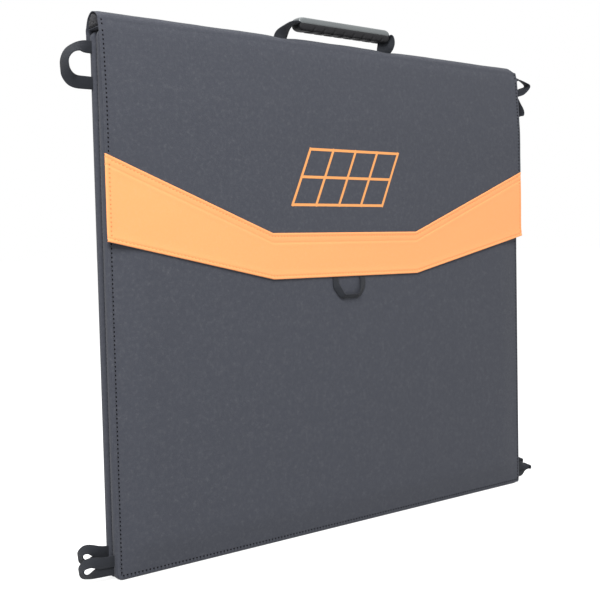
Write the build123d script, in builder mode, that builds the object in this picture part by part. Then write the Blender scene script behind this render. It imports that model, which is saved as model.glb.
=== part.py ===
from build123d import *
import os

os.makedirs("parts", exist_ok=True)

# A folding fabric solar case: two stiff panels hang from a padded spine and close face to face.
# mm, +X across, +Y to the back, +Z up. "s" is the distance outward from the middle plane y = 0.

# ---- driving dimensions ----
panel_w = 600.0
panel_h = 533.0
corner_r = 8.0
half_gap = 3.0
film_t = 0.5
cell_t = 0.4
back_t = 0.5
board_t = 3.0
foam_t = 3.8
skin_t = 0.8
bind_t = 0.5
bind_lap = 10.0
cell_w = 157.0
cell_h = 78.0
cell_gap = 2.0
lam_edge = 7.0
ribbon_w = 3.0
web_w = 12.5
web_t = 1.6
web_tail = 9.0
ring_reach = 34.0
ring_spread = 35.0
ring_drop = 31.0
tab_reach = 42.0
front_tab_z = 15.5
rear_tab_z = 22.5
spine_rise = 16.5
cover_t = 0.9
lining_t = 0.8
jumper_w = 8.0
jumper_t = 0.4
flap_over = 2.0
flap_side_drop = 202.0
flap_mid_drop = 245.0
flap_mid_x = 107.0
flap_break_drop = 78.0
band_side_drop = 119.0
band_mid_drop = 196.0
flap_t = 0.7
band_t = 0.6
pocket_depth = 4.8
pocket_t = 0.6
pocket_top_drop = 138.0
pocket_slope = 36.0
box_w = 92.0
box_h = 44.0
box_drop = 128.0
box_wall = 1.6
box_lid_t = 1.4
gland_r = 4.2
gland_bore_r = 2.8
gland_len = 7.0
magnet_r = 8.0
closure_r = 10.0
closure_t = 2.8
keeper_t = 0.8
stand_w = 285.0
stand_low_z = 61.4
stand_top_drop = 63.0
stand_t = 2.4
sleeve_t = 0.4
strap_w = 25.0
strap_drop = 140.0
strap_t = 0.5
pull_w = 49.0
pull_low_w = 31.0
pull_len = 25.0
pull_leg = 8.5
pull_t = 1.2
pull_lean = 3.5
handle_x = 76.0
handle_web = 20.0
grip_len = 134.0
grip_low = 9.0
grip_high = 24.0
grip_shift = 12.0
grip_y = 8.5
rib_count = 8

# ---- clearances ----
fit = 0.1
hinge_gap = 0.5
lay_gap = 0.2
pivot_gap = 1.0

# ---- derived stations outward from the middle plane ----
s_cell = half_gap + film_t
s_back = s_cell + cell_t
s_board = s_back + back_t
s_foam = s_board + board_t
s_skin = s_foam + foam_t
s_face = s_skin + skin_t
s_bind = s_face + bind_t
s_web = s_board + 0.7
s_pocket = s_face + pocket_depth
s_flap = s_pocket + pocket_t + lay_gap
s_band = s_flap + flap_t
s_stand = s_bind + lay_gap
core_w = panel_w - 2 * bind_t
core_h = panel_h - 2 * bind_t
core_r = corner_r - bind_t
mid_z = panel_h / 2
cells_w = 3 * cell_w + 2 * cell_gap
cells_h = 6 * cell_h + 5 * cell_gap
lam_w = cells_w + 2 * lam_edge
lam_h = cells_h + 2 * lam_edge
hinge_z = panel_h + hinge_gap
spine_z = hinge_z + hinge_gap
ridge_z = spine_z + spine_rise
spine_half = s_bind - lay_gap
spine_w = panel_w + 2 * flap_over
pivot_z = ridge_z + pivot_gap
ring_z = panel_h - ring_drop
flap_side_z = panel_h - flap_side_drop
flap_mid_z = panel_h - flap_mid_drop
flap_break_z = panel_h - flap_break_drop
band_side_z = panel_h - band_side_drop
band_mid_z = panel_h - band_mid_drop
pocket_top_z = panel_h - pocket_top_drop
box_z = panel_h - box_drop
stand_top_z = panel_h - stand_top_drop
stand_h = stand_top_z - hinge_gap - 0.1 - stand_low_z
print_z = panel_h - 135.0


def layer(side, s0, s1):
    """The sketch plane on a layer's +Y face. Extruding by s1 - s0 fills the layer."""
    return Plane.XZ.offset(-(s1 if side > 0 else -s0))


# ---- webbing loops: x side, height, distance between the two tails ----
loops = {
    "rear": [
        ("loop_top_left", -1, ring_z, ring_spread),
        ("loop_top_right", 1, ring_z, ring_spread),
        ("loop_bottom_left", -1, rear_tab_z, 0.0),
        ("loop_bottom_right", 1, rear_tab_z, 0.0),
    ],
    "front": [
        ("loop_bottom_left", -1, front_tab_z, 0.0),
        ("loop_bottom_right", 1, front_tab_z, 0.0),
    ],
}


def tails(panel, side, grow):
    """Centres and sizes of the boxes that the loops' tails fill inside a panel's edge."""
    found = []
    for _, xs, z, spread in loops[panel]:
        depth = web_tail + grow
        x = xs * (panel_w / 2 - depth / 2 + 1)
        y = side * (s_web + web_t / 2)
        for dz in ([-spread / 2, spread / 2] if spread else [0]):
            tall = web_w if spread else 2 * web_w * 0.88
            found.append(((x, y, z + dz), (depth + 2, web_t + 2 * grow, tall + 2 * grow)))
    return found


box_low_z = box_z - gland_len
window_h = box_h + gland_len + 2 * fit

for panel, side in (("rear", 1), ("front", -1)):
    with BuildPart() as board:
        with BuildSketch(layer(side, s_board, s_foam)):
            with Locations((0, mid_z)):
                RectangleRounded(core_w, core_h, core_r)
            with Locations((-200, 24), (200, 24)):
                Circle(closure_r + fit, mode=Mode.SUBTRACT)
            if panel == "front":
                with Locations((0, box_low_z + window_h / 2 - fit)):
                    Rectangle(box_w + 2 * fit, window_h, mode=Mode.SUBTRACT)
        extrude(amount=board_t)
        for centre, size in tails(panel, side, fit):
            with Locations(centre):
                Box(*size, mode=Mode.SUBTRACT)
    board.part.label = f"{panel}_board"
    export_step(board.part, f"parts/{panel}_board.step")

    with BuildPart() as foam:
        with BuildSketch(layer(side, s_foam, s_skin)):
            with Locations((0, mid_z)):
                RectangleRounded(core_w, core_h, core_r)
            if panel == "front":
                with Locations((0, box_low_z + window_h / 2 - fit)):
                    Rectangle(box_w + 2 * fit, window_h, mode=Mode.SUBTRACT)
        extrude(amount=foam_t)
    foam.part.label = f"{panel}_foam"
    export_step(foam.part, f"parts/{panel}_foam.step")

    with BuildPart() as skin:
        with BuildSketch(layer(side, s_skin, s_face)):
            with Locations((0, mid_z)):
                RectangleRounded(core_w, core_h, core_r)
            if panel == "front":
                with Locations((0, box_low_z + window_h / 2 - fit)):
                    Rectangle(box_w + 2 * fit, window_h, mode=Mode.SUBTRACT)
        extrude(amount=skin_t)
    skin.part.label = f"{panel}_skin"
    export_step(skin.part, f"parts/{panel}_skin.step")

    with BuildPart() as binding:
        with BuildSketch(layer(side, half_gap - bind_t, s_bind)):
            with Locations((0, mid_z)):
                RectangleRounded(panel_w, panel_h, corner_r)
                Rectangle(panel_w - 2 * bind_lap, panel_h - 2 * bind_lap, mode=Mode.SUBTRACT)
        extrude(amount=s_bind - half_gap + bind_t)
        with BuildSketch(layer(side, half_gap, s_face)):
            with Locations((0, mid_z)):
                RectangleRounded(core_w, core_h, core_r)
        extrude(amount=s_face - half_gap, mode=Mode.SUBTRACT)
        for centre, size in tails(panel, side, fit):
            with Locations(centre):
                Box(*size, mode=Mode.SUBTRACT)
    binding.part.label = f"{panel}_binding"
    export_step(binding.part, f"parts/{panel}_binding.step")

    with BuildPart() as frame:
        with BuildSketch(layer(side, half_gap, s_board)):
            with Locations((0, mid_z)):
                RectangleRounded(core_w, core_h, core_r)
                Rectangle(lam_w + 2 * fit, lam_h + 2 * fit, mode=Mode.SUBTRACT)
        extrude(amount=s_board - half_gap)
    frame.part.label = f"{panel}_inner_frame"
    export_step(frame.part, f"parts/{panel}_inner_frame.step")

    with BuildPart() as backsheet:
        with BuildSketch(layer(side, s_back, s_board)):
            with Locations((0, mid_z)):
                Rectangle(lam_w, lam_h)
        extrude(amount=back_t)
    backsheet.part.label = f"{panel}_backsheet"
    export_step(backsheet.part, f"parts/{panel}_backsheet.step")

    with BuildPart() as cells:
        with BuildSketch(layer(side, s_cell, s_back)) as outline:
            with Locations((0, mid_z)):
                with GridLocations(cell_w + cell_gap, cell_h + cell_gap, 3, 6):
                    Rectangle(cell_w, cell_h)
            chamfer(outline.vertices(), 2.5)
        extrude(amount=cell_t)
    cells.part.label = f"{panel}_cells"
    export_step(cells.part, f"parts/{panel}_cells.step")

    with BuildPart() as ribbons:
        with BuildSketch(layer(side, s_cell, s_back)):
            for row, col in ((1, -0.5), (-1, 0.5)):
                z = mid_z + row * (cells_h / 2 + ribbon_w / 2 + 1)
                with Locations((col * (cell_w + cell_gap), z)):
                    Rectangle(1.7 * cell_w, ribbon_w)
            with Locations((cell_w + cell_gap, mid_z + cells_h / 2 + ribbon_w / 2 + 1)):
                Rectangle(0.6 * cell_w, ribbon_w)
            with Locations((-cell_w - cell_gap, mid_z - cells_h / 2 - ribbon_w / 2 - 1)):
                Rectangle(0.6 * cell_w, ribbon_w)
        extrude(amount=cell_t)
    ribbons.part.label = f"{panel}_bus_ribbons"
    export_step(ribbons.part, f"parts/{panel}_bus_ribbons.step")

    with BuildPart() as film:
        with BuildSketch(layer(side, half_gap, s_cell)):
            with Locations((0, mid_z)):
                Rectangle(lam_w, lam_h)
        extrude(amount=film_t)
    film.part.label = f"{panel}_film"
    export_step(film.part, f"parts/{panel}_film.step")

    for hand, xs in (("left", -1), ("right", 1)):
        with BuildPart() as magnet:
            with BuildSketch(layer(side, s_board + fit, s_board + fit + closure_t)):
                with Locations((200 * xs, 24)):
                    Circle(closure_r)
            extrude(amount=closure_t)
        magnet.part.label = f"{panel}_magnet_{hand}"
        export_step(magnet.part, f"parts/{panel}_magnet_{hand}.step")

    for name, xs, z, spread in loops[panel]:
        edge = panel_w / 2 - web_tail
        far = panel_w / 2 + (ring_reach if spread else tab_reach)
        tall = spread / 2 + web_w / 2 if spread else web_w * 0.88
        with BuildPart() as loop:
            with BuildSketch(layer(side, s_web, s_web + web_t)) as outline:
                outer = [(edge, -tall), (far - 15, -tall), (far, -tall * 0.5)]
                outer = outer + [(far, tall * 0.5), (far - 15, tall), (edge, tall)]
                Polygon(*[(xs * x, z + h) for x, h in outer], align=None)
                if spread:
                    gap = spread / 2 - web_w / 2
                    hole = [(edge, -gap), (far - 19, -gap), (far - web_w, -gap * 0.5)]
                    hole = hole + [(far - web_w, gap * 0.5), (far - 19, gap), (edge, gap)]
                else:
                    hole = [(far - 29, 0), (far - 9, -tall * 0.55), (far - 9, tall * 0.55)]
                Polygon(*[(xs * x, z + h) for x, h in hole], align=None, mode=Mode.SUBTRACT)
            extrude(amount=web_t)
        loop.part.label = f"{panel}_{name}"
        export_step(loop.part, f"parts/{panel}_{name}.step")

# ---- fold-out stands on the back ----
for hand, xs in (("left", -1), ("right", 1)):
    stand_x = xs * (panel_w / 2 - 6 - stand_w / 2)
    stand_mid_z = stand_low_z + stand_h / 2
    with BuildPart() as sleeve:
        with BuildSketch(layer(1, s_stand, s_stand + stand_t)):
            with Locations((stand_x, stand_mid_z)):
                RectangleRounded(stand_w, stand_h, 6)
        extrude(amount=stand_t)
        with BuildSketch(layer(1, s_stand + sleeve_t, s_stand + stand_t - sleeve_t)):
            with Locations((stand_x, stand_mid_z)):
                RectangleRounded(stand_w - 6, stand_h - 6, 4)
        extrude(amount=stand_t - 2 * sleeve_t, mode=Mode.SUBTRACT)
    sleeve.part.label = f"stand_{hand}_sleeve"
    export_step(sleeve.part, f"parts/stand_{hand}_sleeve.step")

    with BuildPart() as stiffener:
        with BuildSketch(layer(1, s_stand + sleeve_t, s_stand + stand_t - sleeve_t)):
            with Locations((stand_x, stand_mid_z)):
                RectangleRounded(stand_w - 7, stand_h - 7, 4)
        extrude(amount=stand_t - 2 * sleeve_t)
    stiffener.part.label = f"stand_{hand}_board"
    export_step(stiffener.part, f"parts/stand_{hand}_board.step")

    with BuildPart() as strap:
        with BuildSketch(layer(1, s_stand - strap_t, s_stand)):
            with Locations((stand_x, stand_top_z - strap_drop)):
                Rectangle(strap_w, 70)
        extrude(amount=strap_t)
    strap.part.label = f"stand_{hand}_strap"
    export_step(strap.part, f"parts/stand_{hand}_strap.step")

with BuildPart() as stand_tape:
    with BuildSketch(layer(1, s_face, s_face + 0.6)):
        with Locations((0, stand_top_z + 14)):
            Rectangle(2 * (panel_w / 2 - bind_lap - 1), 20)
    extrude(amount=0.6)
stand_tape.part.label = "stand_hinge_tape"
export_step(stand_tape.part, "parts/stand_hinge_tape.step")

# ---- spine roll with the handle anchors ----
anchor_low = spine_z + lining_t + jumper_t + 1.0

with BuildPart() as spine_cover:
    with BuildSketch(Plane.YZ):
        with Locations((0, spine_z)):
            Ellipse(spine_half, spine_rise)
            Ellipse(spine_half - cover_t, spine_rise - cover_t, mode=Mode.SUBTRACT)
        with Locations((0, spine_z - spine_rise / 2)):
            Rectangle(4 * spine_half, spine_rise, mode=Mode.SUBTRACT)
    extrude(amount=spine_w / 2, both=True)
    for xs in (-1, 1):
        with Locations((xs * handle_x, 0, ridge_z)):
            Box(handle_web + 1, web_t + 0.8, 6, mode=Mode.SUBTRACT)
spine_cover.part.label = "spine_cover"
export_step(spine_cover.part, "parts/spine_cover.step")

with BuildPart() as spine_filler:
    with BuildSketch(Plane.YZ):
        with Locations((0, spine_z)):
            Ellipse(spine_half - cover_t - 0.3, spine_rise - cover_t - 0.3)
        with Locations((0, spine_z - spine_rise + 1.3)):
            Rectangle(4 * spine_half, 2 * spine_rise, mode=Mode.SUBTRACT)
    extrude(amount=spine_w / 2 - 1, both=True)
    for xs in (-1, 1):
        with Locations((xs * handle_x, 0, (anchor_low + ridge_z) / 2)):
            Box(handle_web + 0.6, web_t + 0.6, ridge_z - anchor_low + 0.6, mode=Mode.SUBTRACT)
spine_filler.part.label = "spine_filler"
export_step(spine_filler.part, "parts/spine_filler.step")

with BuildPart() as spine_lining:
    with Locations((0, 0, spine_z + lining_t / 2)):
        Box(spine_w - 2, 2 * (spine_half - cover_t - 0.2), lining_t)
spine_lining.part.label = "spine_lining"
export_step(spine_lining.part, "parts/spine_lining.step")

for hand, xs in (("left", -1), ("right", 1)):
    with BuildPart() as anchor:
        with Locations((xs * handle_x, 0, (anchor_low + ridge_z) / 2 - 0.05)):
            Box(handle_web, web_t, ridge_z - anchor_low - 0.1)
    anchor.part.label = f"handle_anchor_{hand}"
    export_step(anchor.part, f"parts/handle_anchor_{hand}.step")

    with BuildPart() as jumper:
        with Locations((xs * 14, 0, spine_z + lining_t + jumper_t / 2)):
            Box(jumper_w, 2 * (spine_half - cover_t - 1), jumper_t)
    jumper.part.label = f"spine_jumper_{hand}"
    export_step(jumper.part, f"parts/spine_jumper_{hand}.step")

# ---- carry handle ----
grip_z = ridge_z + grip_low
grip_mid_z = ridge_z + (grip_low + grip_high) / 2
grip_top_z = ridge_z + grip_high
in_x = handle_x - handle_web / 2
out_x = handle_x + handle_web / 2

with BuildPart() as handle_webbing:
    with BuildSketch(Plane.XZ):
        outer = [(out_x, pivot_z), (in_x + 8, grip_mid_z + 3)]
        inner = [(in_x, pivot_z), (in_x - 6, grip_z + 3)]
        ring = outer + [(-x, z) for x, z in reversed(outer)]
        ring = ring + [(-x, z) for x, z in inner] + [(x, z) for x, z in reversed(inner)]
        ring = [(x + (grip_shift if z > pivot_z + 1 else 0), z) for x, z in ring]
        Polygon(*ring, align=None)
    extrude(amount=web_t / 2, both=True)
handle_webbing.part.label = "handle_webbing"
export_step(handle_webbing.part, "parts/handle_webbing.step")

with BuildPart() as grip_base:
    with BuildSketch(Plane.YZ) as section:
        with Locations((0, (grip_z + grip_mid_z) / 2)):
            Rectangle(2 * grip_y, grip_mid_z - grip_z)
        fillet(section.vertices().group_by(Axis.Y)[0], 5)
    extrude(amount=grip_len / 2, both=True)
    for i in range(rib_count + 1):
        x = (i - rib_count / 2) * (grip_len - 24) / rib_count
        with Locations(Location((x, 0, grip_z - 0.2), (0, 0, 25))):
            Box(4, 4 * grip_y, 2.4, mode=Mode.SUBTRACT)
    with Locations((0, 0, grip_mid_z)):
        slot_h = 2 * (grip_mid_z - grip_z - 3 + fit)
        Box(2 * grip_len, web_t + 2 * fit, slot_h, mode=Mode.SUBTRACT)
    for xs in (-1, 1):
        with Locations((xs * (in_x - 8 + 20), 0, grip_mid_z)):
            Box(40, web_t + 2 * fit, 2 * (grip_high - grip_low), mode=Mode.SUBTRACT)
base = grip_base.part.moved(Location((grip_shift, 0, 0)))
base.label = "grip_base"
export_step(base, "parts/grip_base.step")

with BuildPart() as grip_top:
    with BuildSketch(Plane.YZ) as section:
        with Locations((0, (grip_mid_z + grip_top_z) / 2)):
            Rectangle(2 * grip_y - 0.6, grip_top_z - grip_mid_z)
        fillet(section.vertices().group_by(Axis.Y)[-1], 5)
    extrude(amount=grip_len / 2, both=True)
    with Locations((0, 0, grip_mid_z)):
        Box(2 * grip_len, web_t + 2 * fit, 6 + 2 * fit, mode=Mode.SUBTRACT)
top = grip_top.part.moved(Location((grip_shift, 0, 0)))
top.label = "grip_top"
export_step(top, "parts/grip_top.step")

# ---- accessory pocket and junction box on the front half ----
pocket_low_z = 3.0
pocket_mid = (pocket_top_z + pocket_low_z) / 2
pocket_h = pocket_top_z - pocket_low_z

with BuildPart() as pocket:
    foot_s = s_bind
    with BuildSketch(Plane.XZ.offset(foot_s)):
        with Locations((0, pocket_mid)):
            Rectangle(panel_w - 4, pocket_h)
    with BuildSketch(Plane.XZ.offset(s_pocket + pocket_t)):
        with Locations((0, pocket_mid + 10)):
            Rectangle(panel_w - 4 - 2 * pocket_slope, pocket_h - 20)
    loft()
    with BuildSketch(Plane.XZ.offset(foot_s - pocket_t)):
        with Locations((0, pocket_mid)):
            Rectangle(panel_w - 12, pocket_h)
    with BuildSketch(Plane.XZ.offset(s_pocket)):
        with Locations((0, pocket_mid + 16)):
            Rectangle(panel_w - 12 - 2 * pocket_slope, pocket_h - 16)
    loft(mode=Mode.SUBTRACT)
pocket.part.label = "pocket_front"
export_step(pocket.part, "parts/pocket_front.step")

for hand, xs in (("left", -1), ("right", 1)):
    with BuildPart() as keeper:
        with BuildSketch(Plane.XZ.offset(s_pocket - keeper_t)):
            with Locations((200 * xs, flap_side_z + 14)):
                Circle(magnet_r + 1)
        extrude(amount=keeper_t)
    keeper.part.label = f"pocket_keeper_{hand}"
    export_step(keeper.part, f"parts/pocket_keeper_{hand}.step")

box_deep = s_flap - 0.4 - box_lid_t - s_board
with BuildPart() as jbox_base:
    with BuildSketch(Plane.XZ.offset(s_board)):
        with Locations((0, box_z + box_h / 2)):
            Rectangle(box_w, box_h)
    extrude(amount=box_deep)
    with BuildSketch(Plane.XZ.offset(s_board + box_wall)):
        with Locations((0, box_z + box_h / 2)):
            Rectangle(box_w - 2 * box_wall, box_h - 2 * box_wall)
    extrude(amount=box_deep, mode=Mode.SUBTRACT)
    with Locations(Location((0, -s_board - box_deep / 2 - 0.3, box_z), (0, 0, 0))):
        Cylinder(gland_bore_r, 4 * box_wall, mode=Mode.SUBTRACT)
jbox_base.part.label = "junction_box_base"
export_step(jbox_base.part, "parts/junction_box_base.step")

with BuildPart() as jbox_lid:
    with BuildSketch(Plane.XZ.offset(s_board + box_deep)) as face:
        with Locations((0, box_z + box_h / 2)):
            RectangleRounded(box_w, box_h, 3)
            with GridLocations(box_w - 10, box_h - 10, 2, 2):
                Circle(1.6, mode=Mode.SUBTRACT)
    extrude(amount=box_lid_t)
jbox_lid.part.label = "junction_box_lid"
export_step(jbox_lid.part, "parts/junction_box_lid.step")

with BuildPart() as jbox_diodes:
    with BuildSketch(Plane.XZ.offset(s_board + box_wall)):
        with Locations((0, box_z + box_h / 2)):
            with GridLocations(24, 0, 3, 1):
                Rectangle(12, 20)
    extrude(amount=3)
jbox_diodes.part.label = "junction_box_diodes"
export_step(jbox_diodes.part, "parts/junction_box_diodes.step")

with BuildPart() as jbox_gland:
    with Locations((0, -s_board - box_deep / 2 - 0.3, box_z - gland_len / 2)):
        Cylinder(gland_r, gland_len)
        Cylinder(gland_bore_r, 2 * gland_len, mode=Mode.SUBTRACT)
jbox_gland.part.label = "junction_box_gland"
export_step(jbox_gland.part, "parts/junction_box_gland.step")

# ---- flap with the coloured band ----
flap_half = panel_w / 2 + flap_over
flap_top_z = panel_h - 0.4
flap_top_s = s_bind + 0.7
low_edge = [(-flap_half, flap_side_z), (-flap_mid_x, flap_mid_z)]
low_edge = low_edge + [(flap_mid_x, flap_mid_z), (flap_half, flap_side_z)]
band_edge = [(flap_half, band_side_z), (flap_mid_x, band_mid_z)]
band_edge = band_edge + [(-flap_mid_x, band_mid_z), (-flap_half, band_side_z)]
magnet_spots = [(-200, flap_side_z + 14), (200, flap_side_z + 14)]
magnet_t = 1.0

with BuildPart() as flap_sheet:
    with BuildSketch(Plane.YZ):
        face = [(-s_flap, flap_mid_z - 1), (-s_flap, flap_break_z), (-flap_top_s, flap_top_z)]
        face = face + [(y - flap_t, z) for y, z in reversed(face)]
        Polygon(*face, align=None)
    extrude(amount=flap_half, both=True)
    with BuildSketch(Plane.XZ):
        top = [(flap_half, flap_top_z), (-flap_half, flap_top_z)]
        Polygon(*(low_edge + top), align=None)
    extrude(amount=4 * s_flap, mode=Mode.INTERSECT)
    with BuildSketch(Plane.XZ.offset(s_band - magnet_t / 2)):
        with Locations(*magnet_spots):
            Circle(magnet_r + fit)
    extrude(amount=magnet_t, mode=Mode.SUBTRACT)
flap_sheet.part.label = "flap_sheet"
export_step(flap_sheet.part, "parts/flap_sheet.step")

with BuildPart() as flap_band:
    with BuildSketch(Plane.XZ.offset(s_band)):
        Polygon(*(low_edge + band_edge), align=None)
    extrude(amount=band_t)
    with BuildSketch(Plane.XZ.offset(s_band)):
        with Locations(*magnet_spots):
            Circle(magnet_r + fit)
    extrude(amount=magnet_t / 2, mode=Mode.SUBTRACT)
flap_band.part.label = "flap_band"
export_step(flap_band.part, "parts/flap_band.step")

for hand, spot in zip(("left", "right"), magnet_spots):
    with BuildPart() as magnet:
        with BuildSketch(Plane.XZ.offset(s_band - magnet_t / 2)):
            with Locations(spot):
                Circle(magnet_r)
        extrude(amount=magnet_t)
    magnet.part.label = f"flap_magnet_{hand}"
    export_step(magnet.part, f"parts/flap_magnet_{hand}.step")

with BuildPart() as flap_print:
    with BuildSketch(Plane.XZ.offset(s_band)):
        lean = 14
        for x in (-66, -33, 0, 33, 66):
            bar = [(x - lean - 1.5, print_z - 32), (x - lean + 1.5, print_z - 32)]
            bar = bar + [(x + lean + 1.5, print_z + 32), (x + lean - 1.5, print_z + 32)]
            Polygon(*bar, align=None)
        for dz in (-30.5, 0, 30.5):
            with Locations((lean * dz / 32, print_z + dz)):
                Rectangle(134, 3)
    extrude(amount=0.15)
flap_print.part.label = "flap_print"
export_step(flap_print.part, "parts/flap_print.step")

with BuildPart() as pull_tab:
    top_z = flap_mid_z - 1.2
    top_s = s_flap + 0.3
    with BuildSketch(Plane.YZ):
        face = [(-top_s, top_z), (-top_s - pull_lean, top_z - pull_len)]
        face = face + [(y - pull_t, z) for y, z in reversed(face)]
        Polygon(*face, align=None)
    extrude(amount=pull_w / 2, both=True)
    with BuildSketch(Plane.XZ):
        low_z = top_z - pull_len
        side = [(pull_w / 2, top_z), (pull_w / 2, low_z + 12), (pull_low_w / 2, low_z)]
        Polygon(*(side + [(-x, z) for x, z in reversed(side)]), align=None)
        hole_low = low_z + pull_leg - 2.5
        side = [(pull_w / 2 - pull_leg, top_z - 2.5), (pull_w / 2 - pull_leg, low_z + 13)]
        side = side + [(pull_low_w / 2 - 3, hole_low)]
        Polygon(*(side + [(-x, z) for x, z in reversed(side)]), align=None, mode=Mode.SUBTRACT)
    extrude(amount=3 * s_flap, mode=Mode.INTERSECT)
pull_tab.part.label = "pull_tab"
export_step(pull_tab.part, "parts/pull_tab.step")
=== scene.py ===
"""Folding fabric solar case: cloth, webbing, handle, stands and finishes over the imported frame."""
import math
import random

import bpy
from mathutils import Matrix, Vector, noise


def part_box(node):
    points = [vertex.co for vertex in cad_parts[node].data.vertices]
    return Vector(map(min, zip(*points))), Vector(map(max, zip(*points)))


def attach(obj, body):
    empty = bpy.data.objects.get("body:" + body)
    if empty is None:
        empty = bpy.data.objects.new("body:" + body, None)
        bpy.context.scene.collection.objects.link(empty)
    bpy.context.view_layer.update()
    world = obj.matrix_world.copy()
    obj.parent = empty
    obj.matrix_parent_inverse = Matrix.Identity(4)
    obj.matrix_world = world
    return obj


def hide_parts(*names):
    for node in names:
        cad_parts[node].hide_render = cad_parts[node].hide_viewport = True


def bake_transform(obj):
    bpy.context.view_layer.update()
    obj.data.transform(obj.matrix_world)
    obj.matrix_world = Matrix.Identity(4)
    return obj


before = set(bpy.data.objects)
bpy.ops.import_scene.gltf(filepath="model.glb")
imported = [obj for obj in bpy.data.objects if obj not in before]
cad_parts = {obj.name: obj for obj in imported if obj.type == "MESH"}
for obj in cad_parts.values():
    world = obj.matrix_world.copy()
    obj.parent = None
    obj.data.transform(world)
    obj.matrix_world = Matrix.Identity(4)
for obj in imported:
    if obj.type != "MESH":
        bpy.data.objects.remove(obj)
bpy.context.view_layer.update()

bl_info = {
    "name": "Folding Solar Case",
    "version": (1, 0, 0),
    "blender": (4, 5, 0),
    "location": "3D View > Sidebar > Solar Case",
    "description": "Builds a folding fabric solar panel case with its spine, flap, handle, loops and stands",
    "category": "Add Mesh",
}

MM = 0.001


def low(node, axis):
    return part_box(node)[0][axis]


def high(node, axis):
    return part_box(node)[1][axis]


# ---- stations that every piece shares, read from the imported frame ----
PANEL_HALF = high("front_binding", 0)
PANEL_TOP = high("front_binding", 2)
PANEL_CORNER = 8 * MM
FACE = -low("front_skin", 1)
RIM_OUT = -low("front_binding", 1)
RIM_IN = -high("front_binding", 1)
RIM_MID = (RIM_IN + RIM_OUT) / 2
POCKET_OUT = -low("pocket_front", 1)
FLAP_OUT = -low("flap_sheet", 1)
FLAP_HALF = high("flap_sheet", 0)
FLAP_LOW = low("flap_sheet", 2)
FLAP_SIDE = FLAP_LOW + 43 * MM
BAND_TOP_MIDDLE = FLAP_LOW + 49 * MM
BAND_TOP_SIDE = FLAP_LOW + 126 * MM
BAND_OVERHANG = 0.7 * MM
CHEVRON_X = 107 * MM
HINGE_Z = PANEL_TOP + 0.5 * MM
SPINE_FLOOR = 0.5346
SPINE_MIDDLE = Vector((0, -0.0005, 0.5415))
RIDGE_Z = high("spine_cover", 2)
HANDLE_X = 76 * MM


# ---- sizes and colours a user may change ----
def length(name, about, value):
    return bpy.props.FloatProperty(name=name, description=about, default=value, unit="LENGTH")


def colour(name, about, value):
    return bpy.props.FloatVectorProperty(
        name=name, description=about, default=value, size=3, min=0, max=1, subtype="COLOR"
    )


class CaseSizes(bpy.types.PropertyGroup):
    """Sizes of the cloth details."""

    stitch_pitch: length("Stitch pitch", "Distance from one stitch to the next", 0.0042)
    stitch_length: length("Stitch length", "Length of the thread seen in one stitch", 0.0021)
    thread_radius: length("Thread radius", "Half the thickness of the sewing thread", 0.0007)
    hem: length("Hem", "Distance from an edge to its row of stitches", 0.0036)
    weave_pitch: length("Weave pitch", "Distance between threads of the cloth", 0.00075)
    webbing_width: length("Loop webbing width", "Width of the tie loops' webbing", 0.0125)
    webbing_thickness: length("Webbing thickness", "Thickness of the loops and the handle's webbing", 0.0015)
    handle_width: length("Handle webbing width", "Width of the handle's webbing", 0.02)
    cloth_waves: length("Cloth waves", "Height of the soft waves in the large sheets", 0.0004)
    grip_ribs: bpy.props.IntProperty(
        name="Grip ribs", description="Grooves across the under side of the grip", default=8, min=2, max=20
    )


class CaseColours(bpy.types.PropertyGroup):
    """Base colours of the finishes."""

    cloth: colour("Cloth", "Body cloth of both halves", (0.0300, 0.0322, 0.0408))
    band: colour("Band", "Chevron band on the flap", (0.53, 0.212, 0.077))
    print_ink: colour("Print", "Printed panel drawing on the flap", (0.46, 0.195, 0.060))
    webbing: colour("Webbing", "Loops, pull tab and handle straps", (0.014, 0.0158, 0.0205))
    felt: colour("Filler", "Felt roll inside the spine", (0.020, 0.020, 0.023))
    thread: colour("Thread", "Sewing thread on the grey cloth", (0.003, 0.003, 0.004))
    band_thread: colour("Band thread", "Sewing thread on the band", (0.50, 0.17, 0.05))
    rubber: colour("Grip rubber", "Ribbed under side of the grip", (0.0045, 0.0045, 0.0055))
    grip: colour("Grip cap", "Smooth upper side of the grip", (0.066, 0.073, 0.075))


def sizes():
    return bpy.context.scene.solar_case_sizes


def colours():
    return bpy.context.scene.solar_case_colours


# ---- materials ----
class Wire:
    """A value on its way through a finish's nodes, which may be used in sums."""

    def __init__(self, finish, socket):
        self.finish, self.socket = finish, socket

    def maths(self, operation, *values):
        return self.finish.node("ShaderNodeMath", {"operation": operation}, dict(enumerate(values)))

    def __add__(self, other):
        return self.maths("ADD", self, other)

    __radd__ = __add__

    def __mul__(self, other):
        return self.maths("MULTIPLY", self, other)

    __rmul__ = __mul__

    def __sub__(self, other):
        return self.maths("SUBTRACT", self, other)

    def __rsub__(self, other):
        return self.maths("SUBTRACT", other, self)

    def __truediv__(self, other):
        return self.maths("DIVIDE", self, other)

    def __rtruediv__(self, other):
        return self.maths("DIVIDE", other, self)

    def __pow__(self, other):
        return self.maths("POWER", self, other)

    def __abs__(self):
        return self.maths("ABSOLUTE", self)

    def __gt__(self, other):
        return self.maths("GREATER_THAN", self, other)

    def sine(self):
        return self.maths("SINE", self)

    def fraction(self):
        return self.maths("FRACT", self)


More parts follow.
